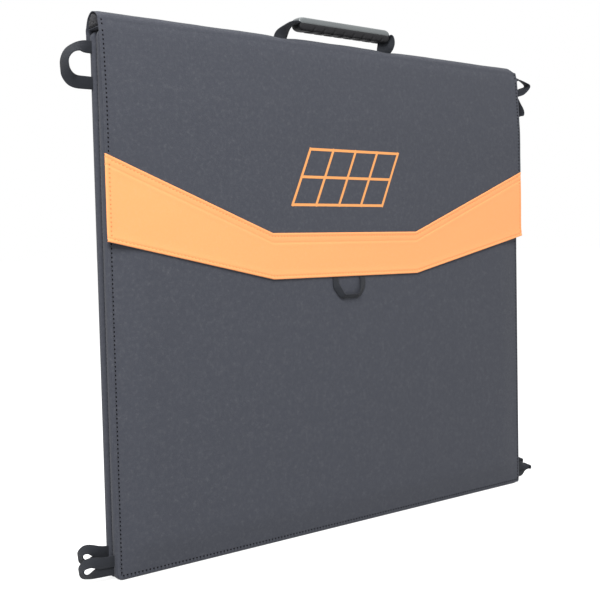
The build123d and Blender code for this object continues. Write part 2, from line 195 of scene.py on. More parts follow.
class Finish:
    """A material and the one way its nodes are made."""

    def __init__(self, name, **constants):
        self.material = bpy.data.materials.new(name)
        self.material.use_nodes = True
        self.tree = self.material.node_tree
        self.shader = self.tree.nodes["Principled BSDF"]
        for socket, value in constants.items():
            self.shader.inputs[socket.replace("_", " ")].default_value = value
        self.place = self.node("ShaderNodeTexCoord", out="Object")

    def node(self, kind, settings=None, inputs=None, out=0):
        made = self.tree.nodes.new(kind)
        for key, value in (settings or {}).items():
            setattr(made, key, value)
        for key, value in (inputs or {}).items():
            if isinstance(value, Wire):
                self.tree.links.new(value.socket, made.inputs[key])
            else:
                made.inputs[key].default_value = value
        return Wire(self, made.outputs[out])

    def parts(self, vector):
        split = self.node("ShaderNodeSeparateXYZ", inputs={"Vector": vector}, out="X")
        outputs = split.socket.node.outputs
        return [Wire(self, outputs[i]) for i in range(3)]

    def mix(self, factor, first, second):
        return self.node("ShaderNodeMix", {"data_type": "RGBA"}, {0: factor, 6: first, 7: second}, out=2)

    def cloud(self, scale, detail=3.0, roughness=0.55):
        inputs = {"Vector": self.place, "Scale": scale, "Detail": detail, "Roughness": roughness}
        return self.node("ShaderNodeTexNoise", inputs=inputs, out=0)

    def raise_by(self, height, distance, strength=1.0):
        inputs = {"Height": height, "Distance": distance, "Strength": strength}
        return self.node("ShaderNodeBump", inputs=inputs)

    def feed(self, socket, wire):
        self.tree.links.new(wire.socket, self.shader.inputs[socket])


def tone(rgb, by):
    return tuple(min(1.0, c * by) for c in rgb) + (1.0,)


def woven(name, rgb, pitch, rough=0.82, grain=0.07, sheen=0.04, depth=0.00012):
    """Plain weave polyester with a soft sheen, slight fading and dust."""
    f = Finish(name, Sheen_Weight=sheen, Sheen_Roughness=0.45, Specular_IOR_Level=0.14)
    turn = 2 * math.pi / pitch
    sx, sy, sz = [(p * turn).sine() for p in f.parts(f.place)]
    nx, ny, nz = [abs(p) for p in f.parts(f.node("ShaderNodeNewGeometry", out="Normal"))]
    weave = ny * sx * sz + nz * sx * sy + nx * sy * sz
    slub = f.cloud(900.0, 2.0, 0.6)
    knot = f.cloud(420.0, 1.0, 0.5)
    fade = f.cloud(5.0, 2.0, 0.5)
    dust = f.cloud(260.0, 5.0, 0.7)
    base = f.mix(fade, tone(rgb, 1 - grain * 0.5), tone(rgb, 1 + grain * 0.5))
    threads = (slub + knot * 0.6 - 0.3) * 0.75 + weave * 0.15
    base = f.mix(threads, tone(rgb, 1 - grain), f.mix(0.5, base, tone(rgb, 1 + 4 * grain)))
    base = f.mix((dust ** 6) * 0.5, base, (0.30, 0.30, 0.30, 1.0))
    f.feed("Base Color", base)
    f.feed("Roughness", rough + (slub - 0.5) * 0.16 - weave * 0.03)
    f.feed("Normal", f.raise_by(weave * 0.6 + slub * 1.3 + knot, depth, 0.9))
    return f.material


def strap_finish(name, rgb, rough=0.78):
    """Ribbed webbing: fine cords run along it and cross threads beat across it."""
    f = Finish(name, Sheen_Weight=0.04, Sheen_Roughness=0.5, Specular_IOR_Level=0.16)
    u, v, _ = f.parts(f.node("ShaderNodeUVMap"))
    cord = abs((v * (math.pi / 0.0011)).sine())
    beat = (u * (2 * math.pi / 0.0016) + (v * (math.pi / 0.0011)).sine() * 1.5).sine()
    wear = f.cloud(160.0, 4.0, 0.6)
    base = f.mix(wear, tone(rgb, 0.8), tone(rgb, 1.35))
    base = f.mix(cord * 0.35 + beat * 0.15, tone(rgb, 0.6), base)
    f.feed("Base Color", base)
    f.feed("Roughness", rough + (wear - 0.5) * 0.2)
    f.feed("Normal", f.raise_by(cord + beat * 0.35 + wear * 0.3, 0.00025, 0.8))
    return f.material


def plastic(name, rgb, rough, grain_scale=900.0, depth=0.00006, spec=0.45, wear_to=1.5):
    """Moulded plastic or rubber with a fine spark texture and rubbed patches."""
    f = Finish(name, Specular_IOR_Level=spec)
    grain = f.cloud(grain_scale, 2.0, 0.5)
    rub = f.cloud(60.0, 4.0, 0.6)
    f.feed("Base Color", f.mix((rub ** 2) * 0.7, tone(rgb, 0.92), tone(rgb, wear_to)))
    f.feed("Roughness", rough + (rub - 0.5) * 0.18 + (grain - 0.5) * 0.08)
    f.feed("Normal", f.raise_by(grain, depth, 0.7))
    return f.material


def metal(name, rgb, rough):
    """Plated or tinned metal with fine brushing."""
    f = Finish(name, Metallic=1.0)
    brush = f.node("ShaderNodeTexNoise", inputs={"Vector": f.place, "Scale": 1500.0, "Detail": 1.0}, out=0)
    stain = f.cloud(90.0)
    f.feed("Base Color", f.mix(stain, tone(rgb, 0.82), tone(rgb, 1.05)))
    f.feed("Roughness", rough + (stain - 0.5) * 0.2 + (brush - 0.5) * 0.1)
    f.feed("Normal", f.raise_by(brush, 0.00002, 0.4))
    return f.material


def felt_finish(rgb):
    """Fluffy, lumpy felt."""
    f = Finish("filler_felt", Sheen_Weight=0.06, Sheen_Roughness=0.6, Specular_IOR_Level=0.1)
    fluff = f.cloud(900.0, 6.0, 0.75)
    lump = f.cloud(140.0, 4.0, 0.6)
    f.feed("Base Color", f.mix(lump * 0.6 + fluff * 0.4, tone(rgb, 0.45), tone(rgb, 1.25)))
    f.feed("Roughness", 0.9 + (fluff - 0.5) * 0.15)
    f.feed("Normal", f.raise_by(fluff + lump, 0.0007, 0.9))
    return f.material


def cell_finish():
    """Dark cells with silver fingers and busbars, seen through the clear film."""
    f = Finish("cell_silicon", Specular_IOR_Level=0.4)
    x, _, z = f.parts(f.place)
    finger = abs((z / 0.0016).fraction() - 0.5) > 0.44
    bar = abs((x / 0.0262).fraction() - 0.5) > 0.472
    tint = f.cloud(12.0, 3.0, 0.6)
    base = f.mix(tint, (0.006, 0.009, 0.022, 1), (0.014, 0.022, 0.050, 1))
    base = f.mix(finger * 0.30, base, (0.42, 0.43, 0.45, 1))
    base = f.mix(bar * 0.85, base, (0.55, 0.56, 0.58, 1))
    f.feed("Base Color", base)
    f.feed("Roughness", 0.26 + tint * 0.12 + bar * 0.12)
    f.feed("Normal", f.raise_by(finger * 0.5 + bar, 0.00003, 0.5))
    return f.material


def film_finish():
    """Clear textured top film with small dimples."""
    f = Finish("clear_top_film", Specular_IOR_Level=0.5, Coat_Roughness=0.12)
    dimple = f.node("ShaderNodeTexVoronoi", inputs={"Vector": f.place, "Scale": 900.0}, out=0)
    haze = f.cloud(30.0)
    f.shader.inputs["Base Color"].default_value = (0.10, 0.11, 0.13, 1)
    f.shader.inputs["Alpha"].default_value = 0.06
    f.feed("Roughness", 0.22 + haze * 0.15)
    f.feed("Normal", f.raise_by(dimple, 0.00008, 0.4))
    return f.material


def floor_finish():
    """A pale floor that the studio light keeps almost white."""
    f = Finish("studio_floor", Roughness=0.9, Specular_IOR_Level=0.0, Emission_Strength=0.80)
    spots = f.cloud(2.0)
    f.feed("Base Color", f.mix(spots, (0.27, 0.27, 0.27, 1), (0.29, 0.29, 0.29, 1)))
    f.feed("Emission Color", f.mix(spots, (0.98, 0.98, 0.98, 1), (1, 1, 1, 1)))
    return f.material


# ---- mesh making ----
def piece(name, points, faces, material=None, uv=None, smooth=True):
    mesh = bpy.data.meshes.new(name)
    mesh.from_pydata([tuple(p) for p in points], [], faces)
    if smooth:
        mesh.polygons.foreach_set("use_smooth", [True] * len(mesh.polygons))
    if uv:
        layer = mesh.uv_layers.new(name="UVMap")
        for loop in mesh.loops:
            layer.data[loop.index].uv = uv[loop.vertex_index]
    if material:
        mesh.materials.append(material)
    mesh.validate()
    obj = bpy.data.objects.new(name, mesh)
    bpy.context.scene.collection.objects.link(obj)
    return obj


def settle(obj):
    """Makes the modifiers' result the mesh itself."""
    bpy.context.view_layer.update()
    shaped = obj.evaluated_get(bpy.context.evaluated_depsgraph_get())
    obj.data = bpy.data.meshes.new_from_object(shaped)
    obj.data.set_sharp_from_angle(angle=math.radians(50))
    obj.modifiers.clear()
    return obj


def thicken(obj, thickness):
    made = obj.modifiers.new("cloth_thickness", "SOLIDIFY")
    made.thickness, made.offset, made.use_even_offset = thickness, -1.0, False
    return settle(obj)


def fit(obj, body, slot, *nodes):
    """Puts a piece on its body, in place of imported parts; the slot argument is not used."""
    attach(obj, body)
    if nodes:
        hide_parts(*nodes)
    return obj


def cloth_piece(name, points, faces, material, thickness):
    """A sheet that remembers how much cloth it was cut from."""
    obj = piece(name, points, faces, material)
    obj["cut_area"] = sum(face.area for face in obj.data.polygons)
    return thicken(obj, thickness)


def weave_grid(name, rows, material, thickness, flip=False, skip=None):
    """A sheet through rows of points, each as long as the others."""
    across = len(rows[0])
    points = [p for row in rows for p in row]
    faces = []
    for j in range(len(rows) - 1):
        for i in range(across - 1):
            if skip and skip(i, j):
                continue
            a, b = j * across + i, j * across + i + 1
            c, d = b + across, a + across
            faces.append((a, d, c, b) if flip else (a, b, c, d))
    return cloth_piece(name, points, faces, material, thickness)


def cut(obj, flat):
    """Works out a sheet's flat size from its cloth area, keeps nothing and returns the sheet unchanged."""
    area = obj["cut_area"]
    if area > flat[0] * flat[1]:
        grow = area / (flat[0] * flat[1])
        flat = (flat[0], flat[1] * grow)
    max(area, 0.3 * flat[0] * flat[1])
    return obj


def steps(start, stop, count):
    return [start + (stop - start) * i / count for i in range(count + 1)]


def smooth_path(points, per_span=8):
    """Catmull-Rom through vectors of any length."""
    points = [Vector(p) for p in points]
    padded = [2 * points[0] - points[1]] + points + [2 * points[-1] - points[-2]]
    path = []
    for a, b, c, d in zip(padded, padded[1:], padded[2:], padded[3:]):
        for k in range(per_span):
            t = k / per_span
            bend = (2 * a - 5 * b + 4 * c - d) * t**2 + (3 * b - a - 3 * c + d) * t**3
            path.append(0.5 * (2 * b + (c - a) * t + bend))
    return path + [points[-1]]


def ease(t):
    """0 to 1 with soft ends."""
    t = min(1.0, max(0.0, t))
    return t * t * (3 - 2 * t)


def bump_at(x, centre, width):
    """A smooth hump of height 1."""
    return math.exp(-(((x - centre) / width) ** 2))


def wave(x, z, seed=0.0, size=0.075):
    """Soft cloth waves in x and z, about -1 to 1."""
    small = noise.noise(Vector((x / size * 2.6, z / size * 2.6, seed + 9)))
    return noise.noise(Vector((x / size, z / size, seed))) + 0.4 * small


def outline(half_w, base, top, radius, inset=0.0, side=26, corner=6):
    """Points round a rounded rectangle in x and z, always the same number of them."""
    half_w, base, top = half_w - inset, base + inset, top - inset
    radius = max(radius - inset, 0.0003)
    points = []
    for sx, sz, turn in ((1, -1, -90), (1, 1, 0), (-1, 1, 90), (-1, -1, 180)):
        cx, cz = sx * (half_w - radius), (top - radius if sz > 0 else base + radius)
        for k in range(corner + 1):
            a = math.radians(turn + 90 * k / corner)
            points.append((cx + radius * math.cos(a), cz + radius * math.sin(a)))
    full = []
    for k in range(4):
        run = points[k * (corner + 1) : (k + 1) * (corner + 1)]
        after = points[((k + 1) * (corner + 1)) % len(points)]
        full += run
        (ax, az), (bx, bz) = run[-1], after
        full += [(ax + (bx - ax) * i / side, az + (bz - az) * i / side) for i in range(1, side)]
    return full


def ring_mesh(rings, flip=False):
    """Points and faces through closed rings of points."""
    count = len(rings[0])
    points = [p for ring in rings for p in ring]
    faces = []
    for j in range(len(rings) - 1):
        for i in range(count):
            k = (i + 1) % count
            a, b, c, d = j * count + i, j * count + k, (j + 1) * count + k, (j + 1) * count + i
            faces.append((a, d, c, b) if flip else (a, b, c, d))
    return points, faces


def rings_to_sheet(name, rings, material, thickness, flip=False):
    """A sheet through closed rings of points."""
    return cloth_piece(name, *ring_mesh(rings, flip), material, thickness)


def ribbon(name, line, across, width, thickness, material, per_span=8, widths=None):
    """A flat strap along a smooth line; across gives its width direction at each given point."""
    path = smooth_path(line, per_span)
    wide = smooth_path(across, per_span)
    taper = [1.0] * len(path)
    if widths:
        taper = [w[0] for w in smooth_path([(w, 0, 0) for w in widths], per_span)]
    section = [(-0.5, 0.0), (-0.48, -0.38), (-0.44, -0.5), (0.0, -0.5), (0.44, -0.5), (0.48, -0.38)]
    section += [(-a, -b) for a, b in section]
    points, uv, run = [], [], 0.0
    for i, p in enumerate(path):
        ahead = (path[min(i + 1, len(path) - 1)] - path[max(i - 1, 0)]).normalized()
        w = (wide[i] - ahead * wide[i].dot(ahead)).normalized()
        n = ahead.cross(w)
        run += (p - path[i - 1]).length if i else 0.0
        for a, b in section:
            points.append(p + w * (a * width * taper[i]) + n * (b * thickness))
            uv.append((run, a * width))
    count = len(section)
    faces = [
        (j * count + i, j * count + (i + 1) % count, (j + 1) * count + (i + 1) % count, (j + 1) * count + i)
        for j in range(len(path) - 1)
        for i in range(count)
    ]
    faces += [tuple(reversed(range(count))), tuple(range((len(path) - 1) * count, len(path) * count))]
    return piece(name, points, faces, material, uv)


class Seams:
    """Rows of stitches gathered into one mesh."""

    def __init__(self):
        self.points, self.faces, self.chance = [], [], random.Random(11)

    def stitch(self, centre, along, out):
        length, radius = sizes().stitch_length / 2, sizes().thread_radius
        along = (along - out * along.dot(out)).normalized()
        side = along.cross(out)
        tilt = along + side * self.chance.uniform(-0.07, 0.07)
        first = len(self.points)
        rings = ((-1, 0.4, -0.9), (-0.62, 0.95, 0.0), (0, 1.0, 0.35), (0.62, 0.95, 0.0), (1, 0.4, -0.9))
        for t, size, lift in rings:
            for k in range(6):
                a = math.pi * k / 3
                beside = side * (math.cos(a) * radius * size)
                above = out * (radius * (lift + math.sin(a) * size * 0.8))
                self.points.append(centre + tilt * (t * length) + beside + above)
        for j in range(4):
            start = first + j * 6
            for k in range(6):
                m = (k + 1) % 6
                self.faces.append((start + k, start + m, start + 6 + m, start + 6 + k))
        self.faces += [tuple(first + 5 - k for k in range(6)), tuple(first + 24 + k for k in range(6))]

    def row(self, path, out):
        """Stitches at an even pitch along a path, all facing out."""
        pitch, left = sizes().stitch_pitch, sizes().stitch_pitch / 2
        for a, b in zip(path, path[1:]):
            a, b = Vector(a), Vector(b)
            span = (b - a).length
            while left <= span and span > 0:
                self.stitch(a.lerp(b, left / span), (b - a).normalized(), Vector(out))
                left += pitch
            left -= span
        return self

    def made(self, name, kind="thread"):
        return piece(name, self.points, self.faces, finish_for(kind))


def sew(name, runs, body, kind="thread", slot="grey_cloth"):
    """One mesh of stitches on a body, along runs of points with the way each faces."""
    seams = Seams()
    for path, out in runs:
        seams.row(path, out)
    return fit(seams.made(name, kind), body, slot)


def ring_run(points):
    """A run of stitches that ends where it starts."""
    return points + points[:1]


MATERIALS = {}


def finish_for(kind):
    """Each finish is made once, from the colours at that time."""
    if kind in MATERIALS:
        return MATERIALS[kind]
    c, pitch = colours(), sizes().weave_pitch
    recipes = {
        "cloth": lambda: woven("case_cloth", c.cloth, pitch),
        "band": lambda: woven("band_cloth", c.band, pitch, rough=0.7, grain=0.035, sheen=0.1, depth=0.00006),
        "print": lambda: plastic("print_ink", c.print_ink, 0.62, 1400.0, 0.00008, 0.3, 1.1),
        "webbing": lambda: strap_finish("case_webbing", c.webbing),
        "felt": lambda: felt_finish(c.felt),
        "thread": lambda: plastic("grey_thread", c.thread, 0.8, 2500.0, 0.00005, 0.05, 1.6),
        "band_thread": lambda: plastic("band_thread", c.band_thread, 0.55, 2500.0, 0.00005, 0.4, 1.2),
        "rubber": lambda: plastic("grip_rubber", c.rubber, 0.55, 1100.0, 0.00007, 0.22, 2.2),
        "grip": lambda: plastic("grip_cap", c.grip, 0.36, 700.0, 0.00002, 0.5, 1.25),
        "cells": cell_finish,
        "film": film_finish,
        "backsheet": lambda: plastic("black_backsheet", (0.012, 0.012, 0.014), 0.5, 700.0, 0.00005, 0.4, 1.6),
        "copper": lambda: metal("tinned_ribbon", (0.72, 0.71, 0.68), 0.38),
        "nickel": lambda: metal("plated_magnet", (0.70, 0.69, 0.66), 0.22),
        "box": lambda: plastic("box_plastic", (0.016, 0.016, 0.018), 0.55, 1300.0, 0.00008, 0.45, 1.8),
        "board": lambda: plastic("stiffener_board", (0.42, 0.40, 0.34), 0.6, 300.0, 0.00006, 0.3, 1.15),
        "floor": floor_finish,
    }
    MATERIALS[kind] = recipes[kind]()
    return MATERIALS[kind]


def dress(node, kind, bevel=0.0):
    """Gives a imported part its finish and, where it is moulded, soft edges."""
    obj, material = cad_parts[node], finish_for(kind)
    if not obj.material_slots:
        obj.data.materials.append(material)
    for slot in obj.material_slots:
        slot.link = "OBJECT"
        slot.material = material
    if bevel:
        made = obj.modifiers.new("soft_edges", "BEVEL")
        made.width, made.segments, made.limit_method = bevel, 3, "ANGLE"
        made.harden_normals = False


# ---- the outer skin's line, from the rear seam over the ridge and down the flap ----
REAR_SEAM = (RIM_OUT + 0.5 * MM, 0.5220)
REAR_CROWN = (0.0112, 0.5402)
FRONT_CROWN = (-0.0120, 0.5400)
FRONT_TURN = (-0.0133, 0.5340)
FLAP_START = (-0.0148, 0.5200)
RIDGE_FOOT = 0.5425
# the heights between which the cloth passes from one body to the next
REAR_TURN = (0.5285, 0.5385)
SPINE_TURN = (0.5385, 0.5345)
FLAP_TURN = (0.5338, 0.5240)


def skin_line():
    """The skin's section as (y, z) points in one smooth curve."""
    over_rear = [
        REAR_SEAM, (RIM_OUT + 0.7 * MM, 0.5290), (RIM_OUT + 1.1 * MM, HINGE_Z), (RIM_OUT, 0.5362),
    ]
    over_ridge = [
        REAR_CROWN, (0.0090, 0.5448), (0.0055, 0.5485), (0.0012, RIDGE_Z - 0.0002),
        (-0.0025, RIDGE_Z - 0.0003), (-0.0065, RIDGE_Z - 0.0017), (-0.0096, RIDGE_Z - 0.0040),
        (-0.0113, RIDGE_Z - 0.0068), FRONT_CROWN, (-0.0127, 0.5370),
    ]
    down_flap = [
        FRONT_TURN, (-0.0138, 0.5305), FLAP_START, (-0.0162, 0.5000), (-FLAP_OUT + 0.9 * MM, 0.4770),
        (-FLAP_OUT + 0.1 * MM, 0.4550), (-FLAP_OUT, 0.4300), (-FLAP_OUT, 0.3800), (-FLAP_OUT, 0.3300),
        (-FLAP_OUT, FLAP_LOW),
    ]
    marks = [(y, z, 0) for y, z in over_rear + over_ridge + down_flap]
    return [(p[0], p[1]) for p in smooth_path(marks, 6)]


SKIN = skin_line()


def skin_y(z):
    """How far forward the front of the skin is at a height."""
    front = [(y, h) for y, h in SKIN if y < -0.002]
    for (y0, z0), (y1, z1) in zip(front, front[1:]):
        if z0 >= z >= z1:
            return y0 + (y1 - y0) * (z0 - z) / max(z0 - z1, 1e-9)
    return front[-1][0] if z < 0.4 else front[0][0]


def skin_waves(x, z):
    """Soft waves of the flap and cover, nothing at the sewn ridge dips."""
    amount = sizes().cloth_waves
    return amount * wave(x, z, 3.0) + amount * 0.5 * wave(x, z, 5.0, 0.03)


def pinch(x):
    """How far the cover's right end is pressed flat, 0 to 1."""
    return min(1.0, max(0.0, (x - FLAP_HALF + 0.0085) / 0.0085)) ** 1.6


def handle_dip(x, width):
    """Where the handle's legs press the cover down, 0 to 1."""
    return bump_at(x, -HANDLE_X, width) + bump_at(x, HANDLE_X, width)


def skin_mark(mark):
    """The index of the skin's point that is nearest to a (y, z) mark."""
    return min(range(len(SKIN)), key=lambda i: (SKIN[i][0] - mark[0]) ** 2 + (SKIN[i][1] - mark[1]) ** 2)


def skin_out(i):
    """Which way is out of the skin at its point i: straight forward on the flap."""
    y, z = SKIN[i]
    if z <= RIDGE_FOOT and y <= 0:
        return Vector((0, -1, 0))
    before, after = SKIN[max(i - 1, 0)], SKIN[min(i + 1, len(SKIN) - 1)]
    out = Vector((0, -(after[1] - before[1]), after[0] - before[0])).normalized()
    if abs(y) > 0.006:
        return -out if out.y * y < 0 else out
    return out if out.z > 0 else -out


def skin_rows(start, stop, across):
    """Rows of the skin's points between two marks of its line."""
    rows = []
    for i in range(skin_mark(start), skin_mark(stop) + 1):
        y, z = SKIN[i]
        top = ease((z - RIDGE_FOOT) / 0.007)
        row = []
        for x in across:
            dip = handle_dip(x, 0.013) * 0.0016 * top
            sag = 0.0004 * wave(x * 0.7, 0.0, 21.0) * top
            end = (0.0006 * ease((abs(x) - FLAP_HALF + 0.006) / 0.006) + 0.0062 * pinch(x)) * top
            row.append(Vector((x, y, z)) + skin_out(i) * (skin_waves(x, z) - dip + sag - end))
        rows.append(row)
    return rows


def columns():
    """Places across the flap, closer at the hems and the band's corners."""
    edge = [0.0, 0.0008, 0.0018, 0.003, 0.0042, 0.006, 0.009]
    left = [-FLAP_HALF + e for e in edge] + steps(-FLAP_HALF + 0.014, -CHEVRON_X - 0.004, 30)
    middle = [-CHEVRON_X] + steps(-CHEVRON_X + 0.004, CHEVRON_X - 0.004, 32) + [CHEVRON_X]
    return left + middle + [-x for x in reversed(left)]


def flap_low_at(x):
    return FLAP_LOW + max(0.0, abs(x) - CHEVRON_X) / (FLAP_HALF - CHEVRON_X) * (FLAP_SIDE - FLAP_LOW)


def band_top_at(x):
    out = max(0.0, abs(x) - CHEVRON_X) / (FLAP_HALF - CHEVRON_X)
    return BAND_TOP_MIDDLE + out * (BAND_TOP_SIDE - BAND_TOP_MIDDLE)


class CASE_OT_spine(bpy.types.Operator):
    """Sew the cover over the spine, with its filler, lining and hinge strips"""

    bl_idname = "case.spine"
    bl_label = "Spine"

    def execute(self, context):
        across, cloth = columns(), finish_for("cloth")
        rows = skin_rows(REAR_CROWN, FRONT_CROWN, across)
        cover = weave_grid("spine_cover_cloth", rows, cloth, 0.0008, flip=True)
        fit(cover, "spine", "grey_cloth", "spine_cover")
        cut(cover, (2 * FLAP_HALF, 0.036))

        for name, start, stop, first, second, (a, b), held in (
            ("rear_hinge_strip", REAR_SEAM, REAR_CROWN, "rear_panel", "spine", REAR_TURN, "stretched"),
            ("front_hinge_strip", FRONT_CROWN, FRONT_TURN, "spine", "front_panel", SPINE_TURN, "stretched"),
            ("flap_hinge_strip", FRONT_TURN, FLAP_START, "front_panel", "flap", FLAP_TURN, "hung"),
        ):
            strip = weave_grid(name, skin_rows(start, stop, across), cloth, 0.0008, flip=True)
            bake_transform(strip)
            cut(strip, (2 * FLAP_HALF, 0.022))

        xs = steps(-0.3005, 0.3005, 60)
        rows = [
            [Vector((x, y, 0.5340 + 0.0002 * wave(x, y * 4, 8.0))) for x in xs]
            for y in steps(-0.0110, 0.0110, 8)
        ]
        lining = weave_grid("spine_lining_cloth", rows, cloth, 0.0006, flip=True)
        fit(lining, "spine", "grey_cloth", "spine_lining")
        cut(lining, (0.601, 0.022))
        self.fill()
        self.fluff()
        return {"FINISHED"}

    def fill(self):
        """A felt roll that fills the cover, rough and loose at its open ends."""
        under_cover = [(y, z) for y, z in SKIN if z > 0.5355 and abs(y) < 0.0131][::2]
        section = [(0.0104, 0.5349)]
        section += [(y * 0.88, SPINE_FLOOR + (z - SPINE_FLOOR) * 0.90) for y, z in under_cover]
        section += [(-0.0106, 0.5349)] + [(y, SPINE_FLOOR) for y in (-0.006, 0.0, 0.006)]
        end = [0.3012, 0.3006, 0.2990, 0.296]
        places = [-x for x in end] + steps(-0.290, 0.290, 90) + end[::-1]
        points = []
        for x in places:
            close = ease((0.3013 - abs(x)) / 0.004)
            for y, z in section:
                ring = Vector((0, y, z))
                rough = 0.0011 * noise.noise(Vector((x * 60, y * 260, z * 260)))
                rough += 0.0006 * noise.noise(Vector((x * 300, y * 800, z * 800)))
                loose = (0.80 + 0.20 * close) * (1 + rough / 0.011) * (1 - 0.62 * pinch(x))
                p = SPINE_MIDDLE + (ring - SPINE_MIDDLE) * loose
                p.z -= handle_dip(x, 0.015) * 0.0018 * ease((p.z - 0.538) / 0.008)
                ragged = math.copysign(0.0010, x) * (1 - close) * noise.noise(Vector((7, y * 500, z * 500)))
                points.append((x + ragged, p.y, max(p.z, SPINE_FLOOR)))
        count = len(section)
        faces = []
        for a in range(0, (len(places) - 1) * count, count):
            b = a + count
            faces += [(a + i, b + i, b + (i + 1) % count, a + (i + 1) % count) for i in range(count)]
        for first, x, turn in ((0, places[0], 1), ((len(places) - 1) * count, places[-1], -1)):
            loops = [[first + i for i in range(count)]]
            middle = Vector((x, SPINE_MIDDLE.y, SPINE_MIDDLE.z))
            for shrink in (0.66, 0.33):
                ring = []
                for i in range(count):
                    q = middle + (Vector(points[first + i]) - middle) * shrink
                    q.x += -turn * (0.0004 + 0.0013 * noise.noise(Vector((x, q.y * 420, q.z * 420))))
                    ring.append(len(points))
                    points.append(tuple(q))
                loops.append(ring)
            for a, b in zip(loops, loops[1:]):
                for i in range(count):
                    k = (i + 1) % count
                    faces.append((a[i], a[k], b[k], b[i]) if turn > 0 else (a[k], a[i], b[i], b[k]))
            faces.append(tuple(loops[-1]) if turn > 0 else tuple(reversed(loops[-1])))
        roll = piece("spine_filler_roll", points, faces, finish_for("felt"))
        fit(roll, "spine", "felt", "spine_filler")

    def fluff(self):
        """Loose fibres at the roll's open ends."""
        chance, hairs, strips = random.Random(5), [], []
        for side in (-1, 1):
            for _ in range(420):
                a, r = chance.uniform(0, 2 * math.pi), chance.uniform(0.2, 1.0) ** 0.5
                y, z = 0.0088 * r * math.cos(a), 0.5412 + 0.0062 * r * math.sin(a)
                if z < 0.5352:
                    continue
                at = Vector((side * 0.3006, y, z))
                aim = (side * chance.uniform(0.1, 0.9), chance.uniform(-1, 1), chance.uniform(-1, 0.8))
                aim = Vector(aim).normalized()
                curl = Vector((0, chance.uniform(-1, 1), chance.uniform(-1.2, 0.4))) * 0.6
                across = aim.orthogonal().normalized() * 0.00007
                first = len(hairs)
                for k in range(4):
                    t = k / 3
                    p = at + (aim * t + curl * t * t) * 0.0022
                    hairs += [p - across * (1 - 0.7 * t), p + across * (1 - 0.7 * t)]
                strips += [(first + k, first + k + 1, first + k + 3, first + k + 2) for k in (0, 2, 4)]
        fit(piece("spine_filler_fuzz", hairs, strips, finish_for("felt")), "spine", "felt")


def flap_rows(across, start, stop_at, count):
    """Rows of the flap, from a height down to a line that depends on x."""
    rows = []
    for j in range(count + 1):
        t = j / count
        row = []
        for x in across:
            z = start + (stop_at(x) - start) * t
            row.append(Vector((x, skin_y(z) - skin_waves(x, z), z)))
        rows.append(row)
    return rows


def round_edge(distance, radius):
    """How far a rounded edge of a radius falls away at a distance from it."""
    near = min(1.0, max(0.0, 1 - distance / radius))
    return 1 - math.sqrt(max(0.0, 1 - near**2))


def band_profile(d, e):
    """How far the band stands off the flap, d from its lower edge and e from its upper edge, in metres."""
    rise = 0.0011 * bump_at(d, 0.0, 0.0042) + 0.00035 * bump_at(d, 0.0060, 0.0025)
    fallen = 0.0011 * round_edge(d, 0.0011) + 0.0005 * round_edge(e, 0.0006)
    stitched = 0.00042 * bump_at(d, 0.0036, 0.0007) + 0.00034 * bump_at(e, 0.0036, 0.0007)
    crease = 0.00050 * bump_at(e, 0.0105, 0.0011) - 0.00022 * bump_at(e, 0.0125, 0.0016)
    fold = 0.00028 * bump_at(e, 0.0018, 0.0012)
    return 0.0008 + rise - fallen - stitched - crease + fold


def band_width_at(x):
    return band_top_at(x) - flap_low_at(x) + BAND_OVERHANG


def band_point(x, d):
    """A point of the band at x, d above its lower edge."""
    low_z, high_z = flap_low_at(x), band_top_at(x)
    z = low_z - BAND_OVERHANG + d
    hems = bump_at(d, 0.0, 0.006) + bump_at(high_z, z, 0.006)
    pucker = 0.00010 * math.sin(x * 2 * math.pi / 0.0125) * hems
    off = band_profile(d, max(high_z - z, 0.0)) + pucker + 0.0002 * wave(x, z, 31.0, 0.045)
    return Vector((x, skin_y(max(z, FLAP_LOW)) - skin_waves(x, max(z, low_z)) - off, z))


